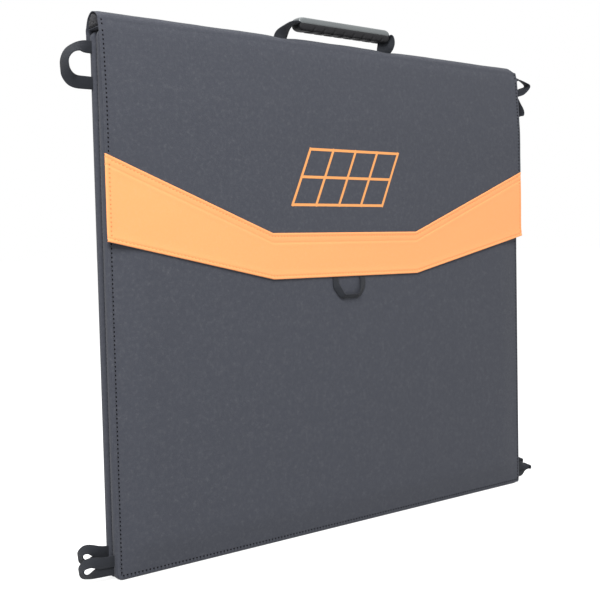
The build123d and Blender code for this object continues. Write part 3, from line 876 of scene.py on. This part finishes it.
class CASE_OT_flap(bpy.types.Operator):
    """Sew the flap with its chevron band, hems and printed drawing"""

    bl_idname = "case.flap"
    bl_label = "Flap"

    def execute(self, context):
        across = columns()
        top = min((z for y, z in SKIN if y < 0), key=lambda z: abs(z - FLAP_START[1]))
        rows = flap_rows(across, top, flap_low_at, 78)
        flap = weave_grid("flap_cloth", rows, finish_for("cloth"), 0.0007, flip=True)
        fit(flap, "flap", "grey_cloth", "flap_sheet")
        cut(flap, (2 * FLAP_HALF, top - FLAP_LOW + 0.004))
        self.band(across)
        self.stitches()
        self.drawing()
        for side in ("left", "right"):
            dress(f"flap_magnet_{side}", "nickel", 0.0001)
        return {"FINISHED"}

    def band(self, across):
        """The chevron band, hemmed along both long edges."""
        near = [0, 0.0003, 0.0008, 0.0013, 0.002, 0.0028, 0.0033, 0.0036, 0.0039, 0.0044]
        near += [0.0054, 0.007, 0.009]
        far = [0, 0.0002, 0.0006, 0.0012, 0.0018, 0.0026, 0.0032, 0.0036, 0.004, 0.005, 0.0065, 0.0082]
        far += [0.0094, 0.0102, 0.0109, 0.0118, 0.0130, 0.0150]
        rows = [[band_point(x, d) for x in across] for d in near]
        for t in steps(0, 1, 12)[1:-1]:
            middle = [near[-1] + t * (band_width_at(x) - far[-1] - near[-1]) for x in across]
            rows.append([band_point(x, d) for x, d in zip(across, middle)])
        rows += [[band_point(x, band_width_at(x) - e) for x in across] for e in reversed(far)]
        for row in rows:
            row[0] = row[0] + Vector((-0.0004, 0.0010, 0))
            row[-1] = row[-1] + Vector((0.0004, 0.0010, 0))
        band = weave_grid("flap_band_cloth", rows, finish_for("band"), 0.0006)
        fit(band, "flap", "orange_cloth", "flap_band")
        cut(band, (2 * FLAP_HALF + 0.002, 0.128))

    def stitches(self):
        hem = sizes().hem
        ahead, tilted = (0, -1, 0), (0, -1, 0.05)
        margins = (-FLAP_HALF + hem, FLAP_HALF - hem)
        reach = steps(-FLAP_HALF + hem + 0.001, FLAP_HALF - hem - 0.001, 240)
        runs = [([band_point(x, hem) for x in reach], ahead)]
        runs.append(([band_point(x, band_width_at(x) - hem) for x in reach], ahead))
        for x in margins:
            tall = band_width_at(x) - BAND_OVERHANG - 2 * hem
            runs.append(([band_point(x, hem + tall * t) for t in steps(0.02, 0.98, 20)], ahead))
        sew("band_stitches", runs, "flap", "band_thread", "orange_cloth")

        def margin(x, heights):
            return [Vector((x, skin_y(z) - skin_waves(x, z) - 0.0001, z)) for z in heights], tilted

        runs = [margin(x, steps(0.519, band_top_at(x) + 0.002, 60)) for x in margins]
        sew("flap_margin_stitches", runs, "flap")
        for name, high_z, low_z, first, second, (a, b) in (
            ("ridge_margin_stitches_upper", RIDGE_FOOT, 0.5352, "spine", "front_panel", SPINE_TURN),
            ("ridge_margin_stitches_lower", 0.5318, 0.5200, "front_panel", "flap", FLAP_TURN),
        ):
            seams = Seams()
            for x in margins:
                seams.row(*margin(x, steps(high_z, low_z, 8)))
            part = seams.made(name)
            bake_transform(part)

    def drawing(self):
        """A printed outline of a tilted panel of modules, laid on the cloth."""
        middle = (low("flap_print", 2) + high("flap_print", 2)) / 2
        lean, tall, wide, half = 0.014, 0.032, 0.067, 0.0015
        points, faces = [], []

        def bar(a, b, count=24):
            a, b = Vector(a), Vector(b)
            ahead = (b - a).normalized()
            side = Vector((-ahead.y, ahead.x)) * half
            first = len(points)
            for k in range(count + 1):
                at = a.lerp(b, k / count)
                for s in (-1, 1):
                    x, z = at.x + side.x * s, middle + at.y + side.y * s
                    points.append((x, skin_y(z) - skin_waves(x, z) - 0.00018, z))
            for k in range(count):
                faces.append((first + 2 * k, first + 2 * k + 1, first + 2 * k + 3, first + 2 * k + 2))

        for x in (-0.066, -0.033, 0.0, 0.033, 0.066):
            bar((x - lean, -tall), (x + lean, tall))
        for dz in (-0.0305, 0.0, 0.0305):
            shift = lean * dz / tall
            bar((shift - wide, dz), (shift + wide, dz))
        drawing = piece("flap_printed_drawing", points, faces, finish_for("print"))
        for face in drawing.data.polygons:
            if face.normal.y > 0:
                face.flip()
        fit(drawing, "flap", "orange_print", "flap_print")


class CASE_OT_pull_tab(bpy.types.Operator):
    """Fold the pull tab's webbing into its loop under the band"""

    bl_idname = "case.pull_tab"
    bl_label = "Pull tab"

    def execute(self, context):
        top, base = high("pull_tab", 2), low("pull_tab", 2)
        y = (low("pull_tab", 1) + high("pull_tab", 1)) / 2 + 0.0012
        leg, half, foot = 0.0088, high("pull_tab", 0), 0.0125
        line, across = [], []
        for x, z, off, way in (
            (-half + leg / 2, top - 0.0008, 0.0008, (1, 0, 0)),
            (-half + leg / 2, top - 0.0060, 0.0004, (1, 0, 0)),
            (-half + leg / 2 + 0.0004, top - 0.0105, -0.0004, (0.97, -0.2, 0.1)),
            (-half + leg / 2 + 0.0022, top - 0.0135, -0.0008, (0.85, -0.35, 0.3)),
            (-foot - 0.0018, base + 0.0062, -0.0014, (0.70, -0.45, 0.52)),
            (-foot + 0.0010, base + 0.0034, -0.0020, (0.30, -0.62, 0.70)),
            (-foot + 0.0050, base + 0.0028, -0.0020, (0.05, -0.66, 0.75)),
            (0.0050, base + 0.0030, -0.0018, (0.0, -0.66, 0.75)),
            (foot - 0.0015, base + 0.0036, -0.0016, (-0.20, -0.65, 0.70)),
            (foot + 0.0015, base + 0.0056, -0.0012, (-0.60, -0.55, 0.55)),
            (half - leg / 2 - 0.0030, base + 0.0100, -0.0008, (-0.88, -0.40, 0.20)),
            (half - leg / 2 - 0.0006, top - 0.0085, 0.0000, (-0.97, -0.20, 0.05)),
            (half - leg / 2 - 0.0002, top - 0.0008, 0.0008, (-1, -0.1, 0)),
        ):
            line.append((x, y + off, z))
            across.append(way)
        widths = [1.0, 1.0, 1.0, 0.95, 0.88, 0.80, 0.76, 0.76, 0.78, 0.84, 0.92, 1.0, 1.0]
        tab = ribbon("pull_tab_webbing", line, across, leg, 0.0013, finish_for("webbing"), 8, widths)
        fit(tab, "pull_tab", "webbing", "pull_tab")
        return {"FINISHED"}


# ---- what both halves share: side is 1 on the rear half and -1 on the front half ----
CELLS_HALF_X = 240.0 * MM
CELLS_HALF_Z = 241.5 * MM
SKIN_LAP = 5.5 * MM


def rim_outline(inset):
    return outline(PANEL_HALF, 0.0, PANEL_TOP, PANEL_CORNER, inset, side=60)


def cells_outline(inset):
    middle = PANEL_TOP / 2
    return outline(CELLS_HALF_X, middle - CELLS_HALF_Z, middle + CELLS_HALF_Z, 3 * MM, inset, side=60)


def rim_rings(side):
    """The edge binding's rings, from its inner lap round the edge to its outer lap."""
    marks = [
        (0.0100, RIM_IN + 0.0001), (0.0070, RIM_IN + 0.0001), (0.0040, RIM_IN + 0.0004),
        (0.0016, RIM_IN + 0.0007), (0.0004, RIM_IN + 0.0012), (-0.0003, RIM_IN + 0.0020),
        (-0.0003, RIM_MID), (-0.0001, RIM_OUT - 0.0034), (0.0008, RIM_OUT - 0.0018),
        (0.0020, RIM_OUT - 0.0008), (0.0036, RIM_OUT - 0.0004), (0.0050, RIM_OUT - 0.0002),
        (0.0075, RIM_OUT), (0.0100, RIM_OUT - 0.0001),
    ]
    rings = []
    for inset, s in marks:
        ring = []
        squeeze = 0.00025 * bump_at(inset, 0.0036, 0.0008) if s > RIM_MID else 0.0
        rippled = 0.00015 if 0.001 < inset < 0.0099 else 0.0
        for x, z in rim_outline(inset):
            ripple = rippled * noise.noise(Vector((x * 70, z * 70, s * 300)))
            ring.append(Vector((x, side * (s + ripple - squeeze), z)))
        rings.append(ring)
    return rings


def edge_binding(name, side, body, node):
    binding = rings_to_sheet(name, rim_rings(side), finish_for("cloth"), 0.0005, flip=side > 0)
    fit(binding, body, "grey_cloth", node)
    cut(binding, (2.24, 0.032))


def inner_frame(name, side, body, node):
    """The cloth border round the cells on the inner face."""
    rings = []
    for t in (0.0, 0.04, 0.10, 0.25, 0.5, 0.75, 0.90, 0.96, 0.99, 1.0):
        tuck = 0.0003 * max(0.0, (t - 0.96) / 0.04)
        ring = []
        for (ax, az), (bx, bz) in zip(rim_outline(0.0040), cells_outline(0.0)):
            x, z = ax + (bx - ax) * t, az + (bz - az) * t
            puff = 0.0002 * wave(x, z, 41.0, 0.05) * math.sin(math.pi * t)
            ring.append(Vector((x, side * (RIM_IN + 0.00045 - puff + tuck), z)))
        rings.append(ring)
    border = rings_to_sheet(name, rings, finish_for("cloth"), 0.0004, flip=side < 0)
    fit(border, body, "grey_cloth", node)
    cut(border, (0.592, 0.525))
    run = [Vector((x, side * (RIM_IN + 0.0003), z)) for x, z in cells_outline(-0.0035)]
    sew(name + "_stitches", [(ring_run(run), (0, -side, 0))], body)


def rim_stitches(name, side, body):
    """Rows of stitches through the binding, on the outer and the inner side."""
    runs = []
    for s, way in ((RIM_OUT - 0.00045, side), (RIM_IN + 0.0002, -side)):
        run = [Vector((x, side * s, z)) for x, z in rim_outline(sizes().hem)]
        runs.append((ring_run(run), (0, way, 0)))
    sew(name, runs, body)


def snapped(places, marks, reach):
    """Places, with each one that is close to a mark moved onto it."""
    moved = []
    for place in places:
        mark = min(marks, key=lambda m: abs(place - m))
        moved.append(mark if abs(place - mark) < reach else place)
    return moved


def outer_skin(name, side, body, nodes, window=None):
    """The cloth between the binding's laps, over the pad, with an opening where a window is given."""
    xs = steps(-PANEL_HALF + SKIN_LAP, PANEL_HALF - SKIN_LAP, 96)
    zs = steps(SKIN_LAP, PANEL_TOP - SKIN_LAP, 86)
    skip = None
    if window:
        (x0, z0), (x1, z1) = window
        xs, zs = snapped(xs, (x0, x1), 0.0031), snapped(zs, (z0, z1), 0.00305)

        def skip(i, j):
            return x0 < (xs[i] + xs[i + 1]) / 2 < x1 and z0 < (zs[j] + zs[j + 1]) / 2 < z1

    rows = []
    for z in zs:
        row = []
        for x in xs:
            edge = min(PANEL_HALF - abs(x), z, PANEL_TOP - z)
            puff = (0.0002 * wave(x, z, 55.0 + side) + 0.0002) * ease((edge - 0.010) / 0.03)
            puff -= 0.0007 * (1 - ease((edge - 0.0085) / 0.003))
            row.append(Vector((x, side * (FACE + puff), z)))
        rows.append(row)
    skin = weave_grid(name, rows, finish_for("cloth"), 0.0006, flip=side > 0, skip=skip)
    fit(skin, body, "grey_cloth", *nodes)
    cut(skin, (0.590, 0.523))


def inside_parts(panel):
    """Finishes for what each half holds between its cloths."""
    for node, kind in (
        ("board", "board"), ("backsheet", "backsheet"), ("cells", "cells"), ("bus_ribbons", "copper"),
        ("film", "film"), ("magnet_left", "nickel"), ("magnet_right", "nickel"),
    ):
        dress(f"{panel}_{node}", kind)


class CASE_OT_rear_panel(bpy.types.Operator):
    """Bind and cover the rear half"""

    bl_idname = "case.rear_panel"
    bl_label = "Rear half"

    def execute(self, context):
        edge_binding("rear_edge_binding", 1, "rear_panel", "rear_binding")
        outer_skin("rear_outer_cloth", 1, "rear_panel", ("rear_skin", "rear_foam"))
        inner_frame("rear_cell_border", 1, "rear_panel", "rear_inner_frame")
        rim_stitches("rear_rim_stitches", 1, "rear_panel")
        inside_parts("rear")
        return {"FINISHED"}


def pocket_rise(x, z):
    """How far the pocket's cloth stands out from the face."""
    half, base = PANEL_HALF - 0.0015, low("pocket_front", 2)
    full = POCKET_OUT - RIM_OUT + 0.0001
    side = ease((half - abs(x)) / 0.040) ** 0.8
    foot = ease((z - base) / 0.034) ** 0.8
    return full * side * foot


def pocket_y(x, z):
    rise = pocket_rise(x, z)
    slack = 0.0005 * wave(x, z, 61.0, 0.09) - 0.0002
    return -(RIM_OUT + 0.0002 + rise + slack * min(1.0, rise / 0.003))


class CASE_OT_front_panel(bpy.types.Operator):
    """Bind and cover the front half, with its pocket and junction box"""

    bl_idname = "case.front_panel"
    bl_label = "Front half"

    def execute(self, context):
        edge_binding("front_edge_binding", -1, "front_panel", "front_binding")
        box_low, box_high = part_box("junction_box_base")
        gap = 0.8 * MM
        window = (
            (box_low[0] - gap, low("junction_box_gland", 2) - gap),
            (box_high[0] + gap, box_high[2] + gap),
        )
        outer_skin("front_outer_cloth", -1, "front_panel", ("front_skin", "front_foam"), window)
        inner_frame("front_cell_border", -1, "front_panel", "front_inner_frame")
        rim_stitches("front_rim_stitches", -1, "front_panel")
        self.pocket()
        inside_parts("front")
        for hand in ("left", "right"):
            dress(f"pocket_keeper_{hand}", "nickel", 0.0001)
        dress("junction_box_base", "box", 0.0006)
        dress("junction_box_lid", "box", 0.0005)
        dress("junction_box_gland", "box", 0.0003)
        dress("junction_box_diodes", "box", 0.0002)
        return {"FINISHED"}

    def pocket(self):
        """The large front pocket: sewn on three sides, with a folded hem along its mouth."""
        base, top = low("pocket_front", 2) - 0.0012, high("pocket_front", 2)
        half, fold = PANEL_HALF - 0.8 * MM, 9.5 * MM
        edge = [0.0, 0.0010, 0.0022, 0.0030, 0.0036, 0.0042, 0.0055, 0.008, 0.012]
        mouth = [0.011, fold, 0.008, 0.006, 0.003, 0.0012, 0.0]
        xs = [-half + e for e in edge] + steps(-half + 0.016, half - 0.016, 96)
        xs += [half - e for e in reversed(edge)]
        zs = [base + e for e in edge] + steps(base + 0.016, top - 0.014, 78) + [top - e for e in mouth]
        rows = []
        for z in zs:
            row = []
            for x in xs:
                y = pocket_y(x, z)
                in_edge = min(half - abs(x), z - base)
                y += 0.00025 * bump_at(in_edge, 0.0036, 0.0007) + 0.0006 * ease(1 - in_edge / 0.0015)
                y += 0.00022 * bump_at(top - z, fold, 0.0009) - 0.0002 * ease(1 - (top - z) / 0.009)
                corner = max(0.0, 0.007 - (z - base)) ** 2 * 40
                x_in = math.copysign(min(abs(x), half - corner), x)
                row.append(Vector((x_in, y, z)))
            rows.append(row)
        pocket = weave_grid("front_pocket_cloth", rows, finish_for("cloth"), 0.0006)
        fit(pocket, "front_panel", "grey_cloth", "pocket_front")
        cut(pocket, (0.602, 0.394))
        hem, ahead = sizes().hem, (0, -1, 0)
        x, z = half - hem, base + hem
        left = [(-x, h) for h in steps(top - 0.002, z, 90)]
        foot = [(w, z) for w in steps(-x, x, 110)]
        right = [(x, h) for h in steps(z, top - 0.002, 90)]
        runs = []
        for run in (left, foot, right):
            runs.append(([Vector((w, pocket_y(w, h) + 0.0001, h)) for w, h in run], ahead))
        h = top - fold
        runs.append(([Vector((w, pocket_y(w, h) + 0.0007, h)) for w in steps(-x, x, 110)], ahead))
        sew("pocket_stitches", runs, "front_panel")


class CASE_OT_tie_loops(bpy.types.Operator):
    """Twist the webbing loops at the top and bottom corners"""

    bl_idname = "case.tie_loops"
    bl_label = "Tie loops"

    def execute(self, context):
        edge, width, thick = PANEL_HALF, sizes().webbing_width, sizes().webbing_thickness
        webbing = finish_for("webbing")
        y = (low("rear_loop_top_left", 1) + high("rear_loop_top_left", 1)) / 2
        z = (low("rear_loop_top_left", 2) + high("rear_loop_top_left", 2)) / 2
        up, down = (0, 0, 1), (0, 0, -1)

        def loop(name, node, body, marks, ways, widths=None, wide=width):
            made = ribbon(name, marks, ways, wide, thick, webbing, 8, widths)
            fit(made, body, "webbing", node)

        # left top: flat at the sewn ends, turned edge on round the bend
        marks = [
            (-edge + 0.006, y, z + 0.0150), (-edge - 0.006, y, z + 0.0150),
            (-edge - 0.0150, y + 0.0008, z + 0.0142), (-edge - 0.0230, y + 0.0012, z + 0.0098),
            (-edge - 0.0278, y + 0.0012, z + 0.0020), (-edge - 0.0280, y + 0.0010, z - 0.0066),
            (-edge - 0.0255, y + 0.0006, z - 0.0138), (-edge - 0.0190, y, z - 0.0186),
            (-edge - 0.006, y, z - 0.0192), (-edge + 0.006, y, z - 0.0190),
        ]
        ways = [
            up, (0, 0.1, 1), (-0.1, 0.72, 0.68), (-0.3, 0.92, 0.30), (-0.25, 0.97, 0.03),
            (-0.28, 0.95, -0.08), (-0.50, 0.78, -0.38), (-0.12, 0.24, -0.96), down, down,
        ]
        loop("top_loop_left", "rear_loop_top_left", "rear_panel", marks, ways)
        # right top: the same loop, pressed in and kinked
        marks = [
            (edge - 0.006, y, z + 0.0150), (edge + 0.003, y - 0.001, z + 0.0270),
            (edge + 0.015, y - 0.005, z + 0.0370), (edge + 0.0295, y - 0.010, z + 0.0315),
            (edge + 0.0325, y - 0.011, z + 0.0265), (edge + 0.0240, y - 0.008, z + 0.0200),
            (edge + 0.0150, y - 0.003, z + 0.0150), (edge + 0.0190, y - 0.003, z + 0.0060),
            (edge + 0.0250, y - 0.005, z - 0.0060), (edge + 0.0235, y - 0.004, z - 0.0125),
            (edge + 0.0120, y - 0.001, z - 0.0185), (edge - 0.006, y, z - 0.0190),
        ]
        ways = [
            up, (-0.2, 0.3, 0.9), (0.1, 0.80, 0.55), (0.2, 0.95, 0.25), (0.1, 0.95, 0.1), (-0.35, 0.85, 0.4),
            (-0.3, 0.9, 0.2), (-0.3, 0.9, 0.1), (-0.3, 0.9, -0.1), (-0.1, 0.8, -0.5), (0.1, 0.5, -0.8), down,
        ]
        loop("top_loop_right", "rear_loop_top_right", "rear_panel", marks, ways)

        for panel in ("rear", "front"):
            for hand, xs in (("left", -1), ("right", 1)):
                node = f"{panel}_loop_bottom_{hand}"
                y = (low(node, 1) + high(node, 1)) / 2
                z = (low(node, 2) + high(node, 2)) / 2
                reach = (0.0290 if panel == "rear" else 0.0350) if xs < 0 else 0.0245
                rise = (0.0055 if panel == "rear" else 0.0020) if xs < 0 else 0.0015
                open_up = 0.0062 if xs < 0 else 0.0030
                ahead = -0.0010 if panel == "front" else 0.0010

                def at(t, off_y, off_z):
                    return (xs * (edge + reach * t), y + off_y + ahead * t, z + off_z + rise * t ** 1.2)

                marks = [
                    (xs * (edge - 0.006), y - 0.0009, z + 0.0044), at(0.10, -0.0009, 0.0044),
                    at(0.42, -0.0008, 0.0046), at(0.74, 0.0, open_up), at(0.97, 0.0, 0.0030),
                    at(1.0, 0.0, -0.0016), at(0.86, 0.0002, -open_up), at(0.50, 0.0008, -0.0048),
                    at(0.10, 0.0009, -0.0044), (xs * (edge - 0.006), y + 0.0009, z - 0.0044),
                ]
                ways = [
                    up, up, (0, 0.12, 1), (xs * 0.25, 0.72, 0.62), (xs * 0.1, 0.98, 0.1), (0, 1.0, -0.05),
                    (xs * 0.3, 0.80, -0.5), (0, 0.2, -0.97), down, down,
                ]
                loop(f"bottom_loop_{panel}_{hand}", node, f"{panel}_panel", marks, ways, wide=width * 0.88)
        return {"FINISHED"}


class CASE_OT_handle(bpy.types.Operator):
    """Sew in the handle's straps and mould the grip"""

    bl_idname = "case.handle"
    bl_label = "Handle"

    def execute(self, context):
        webbing, width = finish_for("webbing"), sizes().handle_width
        thick = sizes().webbing_thickness + 0.0002
        grip_mid = high("grip_base", 2)
        shift = (low("grip_base", 0) + high("grip_base", 0)) / 2
        widths = [1, 1, 1, 1, 0.97, 0.9, 0.80, 0.78, 0.78]
        for hand, xs in (("left", -1), ("right", 1)):
            root = xs * HANDLE_X
            line = [
                (root, 0.0, 0.5360), (root, 0.0, 0.5430), (root, 0.0, RIDGE_Z - 0.001),
                (xs * 0.0750 + shift * 0.25, -0.0006, RIDGE_Z + 0.0048),
                (xs * 0.0735 + shift * 0.62, -0.0012, RIDGE_Z + 0.0105),
                (xs * 0.0700 + shift * 0.97, -0.0006, grip_mid - 0.0008),
                (xs * 0.0650 + shift, 0.0, grip_mid),
                (xs * 0.0580 + shift, 0.0, grip_mid), (xs * 0.0500 + shift, 0.0, grip_mid),
            ]
            ways = [(xs, 0, 0), (xs, 0, 0), (xs, -0.05, 0), (xs * 0.93, -0.34, 0), (xs * 0.66, -0.70, 0.25)]
            ways += [(xs * 0.2, -0.93, 0.15), (0, -1, 0), (0, -1, 0), (0, -1, 0)]
            leg = ribbon(f"handle_strap_{hand}", line, ways, width, thick, webbing, 8, widths)
            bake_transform(leg)
            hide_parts(*(["handle_webbing"] if xs < 0 else []), f"handle_anchor_{hand}")
            dress(f"spine_jumper_{hand}", "copper")
        self.grip()
        return {"FINISHED"}

    def grip(self):
        base_z, middle, top = low("grip_base", 2), high("grip_base", 2), high("grip_top", 2)
        centre_x = (low("grip_base", 0) + high("grip_base", 0)) / 2
        half_x, half_y = high("grip_base", 0) - centre_x, high("grip_base", 1)
        ribs = sizes().grip_ribs
        run = half_x - 0.009

        def tip(x, length=half_x):
            t = min(1.0, max(0.0, (length - abs(x)) / 0.007))
            return math.sqrt(max(0.0, 1 - (1 - t) ** 2))

        def lower(x, a):
            c, s = math.cos(a), math.sin(a)
            y = half_y * math.copysign(abs(c) ** 0.55, c) * (0.80 + 0.20 * tip(x))
            z = middle - (middle - base_z) * (s ** 0.62) * (0.55 + 0.45 * tip(x))
            phase = (x + y * 0.55) / run * ribs / 2
            groove = ease(1 - abs((phase % 1.0) - 0.5) / 0.20) if abs(x) < run else 0.0
            cut_in = 0.0015 * groove * ease(s * 2.2)
            return Vector((x + centre_x, y * (1 - cut_in / half_y), z + cut_in * s))

        def upper(x, a):
            c, s = math.cos(a), math.sin(a)
            y = (half_y - 0.0002) * math.copysign(abs(c) ** 0.5, c) * (0.78 + 0.22 * tip(x, half_x + 0.0008))
            z = middle + (top - middle) * (s ** 0.55) * (0.42 + 0.58 * tip(x, half_x + 0.0008))
            return Vector((x + centre_x, y, z + 0.0001))

        for name, shape, node, kind, slot, length, seg in (
            ("grip_under_rubber", lower, "grip_base", "rubber", "grip_rubber", half_x, 300),
            ("grip_upper_cap", upper, "grip_top", "grip", "grip_plastic", half_x + 0.0008, 110),
        ):
            near = [0.0, 0.0003, 0.0009, 0.0018, 0.003, 0.0045, 0.006, 0.0075]
            places = [-length + e for e in near] + steps(-length + 0.009, length - 0.009, seg)
            places += [length - e for e in reversed(near)]
            around, inward = 30, kind == "rubber"
            points = [shape(x, math.pi * k / around) for x in places for k in range(around + 1)]
            count = around + 1
            last = (len(places) - 1) * count
            faces = []
            for a in range(0, last, count):
                b = a + count
                quads = [(a + k, a + k + 1, b + k + 1, b + k) for k in range(around)]
                faces += quads if inward else [(p, s, r, q) for p, q, r, s in quads]
                flat = (a, b, b + around, a + around)
                faces.append(flat if inward else flat[::-1])
            ends = (tuple(range(count)), tuple(reversed(range(last, last + count))))
            faces += [end[::-1] for end in ends] if inward else list(ends)
            fit(piece(name, points, faces, finish_for(kind)), "handle", slot, node)


SLEEVE_CORNER = 10 * MM
SLEEVE_SEAM = 5.4 * MM


def sleeve_rings(centre, half_w, base, top, inner, outer):
    """A thin pad's rings, from the middle of one face round the edge to the middle of the other."""
    half, middle = (outer - inner) / 2, (outer + inner) / 2
    insets = [0.136, 0.11, 0.08, 0.05, 0.03, 0.016, 0.0085, 0.0062, SLEEVE_SEAM, 0.0044, 0.003, 0.0018]
    insets += [0.0008, 0.0002, 0.0]
    rings = []
    for face in (1, -1):
        for inset in insets if face > 0 else reversed(insets[:-1]):
            thick = half * (1 - round_edge(inset, 0.0024)) - 0.0003 * bump_at(inset, SLEEVE_SEAM, 0.0008)
            swell, loose = 0.0002 * ease((inset - 0.008) / 0.03), 0.00018 * ease(inset / 0.02)
            ring = []
            for x, z in outline(half_w, base, top, SLEEVE_CORNER, inset, side=22):
                puff = swell + loose * wave(centre + x, z, 71.0, 0.06) if face > 0 else 0.0
                ring.append(Vector((centre + x, middle + face * (thick + puff), z)))
            rings.append(ring)
    return rings


class CASE_OT_stands(bpy.types.Operator):
    """Make the two fold-out stands with their sleeves, hinge cloths and straps"""

    bl_idname = "case.stands"
    bl_label = "Stands"

    def execute(self, context):
        cloth, rearward = finish_for("cloth"), (0, 1, 0)
        for hand, xs in (("left", -1), ("right", 1)):
            node, body = f"stand_{hand}_sleeve", f"stand_{hand}"
            lo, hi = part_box(node)
            centre, half_w = (lo[0] + hi[0]) / 2, (hi[0] - lo[0]) / 2
            rings = sleeve_rings(centre, half_w, lo[2], hi[2], lo[1], hi[1])
            points, faces = ring_mesh(rings)
            count = len(rings[0])
            faces.append(tuple(range((len(rings) - 1) * count, len(rings) * count)))
            faces.append(tuple(reversed(range(count))))
            sleeve = piece(f"stand_{hand}_cloth", points, faces, cloth)
            fit(sleeve, body, "grey_cloth", node)
            dress(f"stand_{hand}_board", "board")

            def across(y, z, margin, count):
                """A straight run of points over the stand's width."""
                reach = half_w - margin
                return [Vector((x, y, z)) for x in steps(centre - reach, centre + reach, count)]

            edge = outline(half_w, lo[2], hi[2], SLEEVE_CORNER, SLEEVE_SEAM, side=30)
            runs = [(ring_run([Vector((centre + x, hi[1] - 0.0002, z)) for x, z in edge]), rearward)]
            runs += [(across(hi[1] + 0.0003, lo[2] + h, 0.02, 30), rearward) for h in (0.045, 0.049)]
            sew(f"stand_{hand}_stitches", runs, body)

            tape_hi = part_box("stand_hinge_tape")[1]
            face, out = tape_hi[1], hi[1] + 0.0004
            marks = [
                (face, tape_hi[2]), (face + 0.0001, tape_hi[2] - 0.008), (face + 0.0003, 0.4775),
                (face + 0.0014, 0.4732), (out - 0.0002, 0.4690), (out + 0.0002, 0.4640), (out, 0.4560),
            ]
            rows = []
            for y, z, _ in smooth_path([(y, z, 0) for y, z in marks], 5):
                row = across(y, z, 0.004, 50)
                rows.append([p + Vector((0, 0.0001 * wave(p.x, z, 81.0, 0.02), 0)) for p in row])
            tape = weave_grid(f"stand_{hand}_hinge_cloth", rows, cloth, 0.0005)
            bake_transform(tape)
            if xs < 0:
                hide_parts("stand_hinge_tape")
            cut(tape, (2 * half_w - 0.008, 0.041))
            for part, y, z, rider in (
                ("top", face + 0.0001, tape_hi[2] - 0.003, "rear_panel"),
                ("low", out + 0.0001, 0.4590, body),
            ):
                sew(f"stand_{hand}_hinge_{part}_stitches", [(across(y, z, 0.006, 40), rearward)], rider)

            lo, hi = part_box(f"stand_{hand}_strap")
            x, y = (lo[0] + hi[0]) / 2, (lo[1] + hi[1]) / 2
            strap = ribbon(
                f"stand_{hand}_limit_strap", [(x, y, z) for z in steps(hi[2], lo[2], 5)], [(1, 0, 0)] * 6,
                hi[0] - lo[0], hi[1] - lo[1], finish_for("webbing"), 4,
            )
            fit(strap, body, "webbing", f"stand_{hand}_strap")
        return {"FINISHED"}


class CASE_OT_studio(bpy.types.Operator):
    """Set the floor, the lights and the camera"""

    bl_idname = "case.studio"
    bl_label = "Studio"

    def execute(self, context):
        scene = context.scene
        corners = [(-40, -40, 0), (40, -40, 0), (40, 40, 0), (-40, 40, 0)]
        floor = piece("studio_floor", corners, [(0, 1, 2, 3)], finish_for("floor"), smooth=False)
        world = bpy.data.worlds.new("studio_world")
        scene.world = world
        scene.view_settings.view_transform = "Standard"
        world.use_nodes = True
        world.node_tree.nodes["Background"].inputs["Color"].default_value = (1, 1, 1, 1)
        world.node_tree.nodes["Background"].inputs["Strength"].default_value = 1.0
        for name, place, size, power, aim in (
            ("key_light", (-1.15, -1.25, 1.75), 1.0, 95.0, (-0.1, 0, 0.45)),
            ("fill_light", (1.9, -2.0, 1.6), 1.8, 5.0, (0, 0, 0.35)),
            ("top_light", (0.1, 0.3, 2.4), 1.5, 26.0, (0, 0, 0.4)),
        ):
            data = bpy.data.lights.new(name, "AREA")
            data.size, data.energy = size, power
            light = bpy.data.objects.new(name, data)
            light.location = place
            light.rotation_euler = (Vector(place) - Vector(aim)).to_track_quat("Z", "Y").to_euler()
            scene.collection.objects.link(light)
        yaw, pitch, roll = math.radians(38.15), math.radians(2.98), math.radians(-1.27)
        ahead = Vector((math.sin(yaw) * math.cos(pitch), math.cos(yaw) * math.cos(pitch), -math.sin(pitch)))
        right = Vector((math.cos(yaw), -math.sin(yaw), 0))
        up = right.cross(ahead)
        across = math.cos(roll) * right + math.sin(roll) * up
        upward = -math.sin(roll) * right + math.cos(roll) * up
        data = bpy.data.cameras.new("view_camera")
        data.sensor_width, data.lens, data.clip_start = 36, 60, 0.05
        camera = bpy.data.objects.new("view_camera", data)
        turn = Matrix((across, upward, -ahead)).transposed().to_4x4()
        camera.matrix_world = Matrix.Translation((-0.7466, -0.8771, 0.3205)) @ turn
        scene.collection.objects.link(camera)
        scene.camera = camera
        return {"FINISHED"}


STEPS = (
    CASE_OT_rear_panel, CASE_OT_front_panel, CASE_OT_spine, CASE_OT_flap, CASE_OT_pull_tab,
    CASE_OT_tie_loops, CASE_OT_handle, CASE_OT_stands, CASE_OT_studio,
)


class CASE_PT_sidebar(bpy.types.Panel):
    """Lists the case's sizes, colours and making steps"""

    bl_idname = "CASE_PT_sidebar"
    bl_label = "Folding Solar Case"
    bl_space_type = "VIEW_3D"
    bl_region_type = "UI"
    bl_category = "Solar Case"

    def draw(self, context):
        for group in (context.scene.solar_case_sizes, context.scene.solar_case_colours):
            box = self.layout.box()
            for name in group.__annotations__:
                box.prop(group, name)
        for step in STEPS:
            self.layout.operator(step.bl_idname)


CLASSES = (CaseSizes, CaseColours) + STEPS + (CASE_PT_sidebar,)


def register():
    for cls in CLASSES:
        bpy.utils.register_class(cls)
    bpy.types.Scene.solar_case_sizes = bpy.props.PointerProperty(type=CaseSizes)
    bpy.types.Scene.solar_case_colours = bpy.props.PointerProperty(type=CaseColours)


def unregister():
    del bpy.types.Scene.solar_case_colours
    del bpy.types.Scene.solar_case_sizes
    for cls in reversed(CLASSES):
        bpy.utils.unregister_class(cls)


def main():
    register()
    for step in STEPS:
        group, name = step.bl_idname.split(".")
        getattr(getattr(bpy.ops, group), name)()


if __name__ == "__main__":
    main()
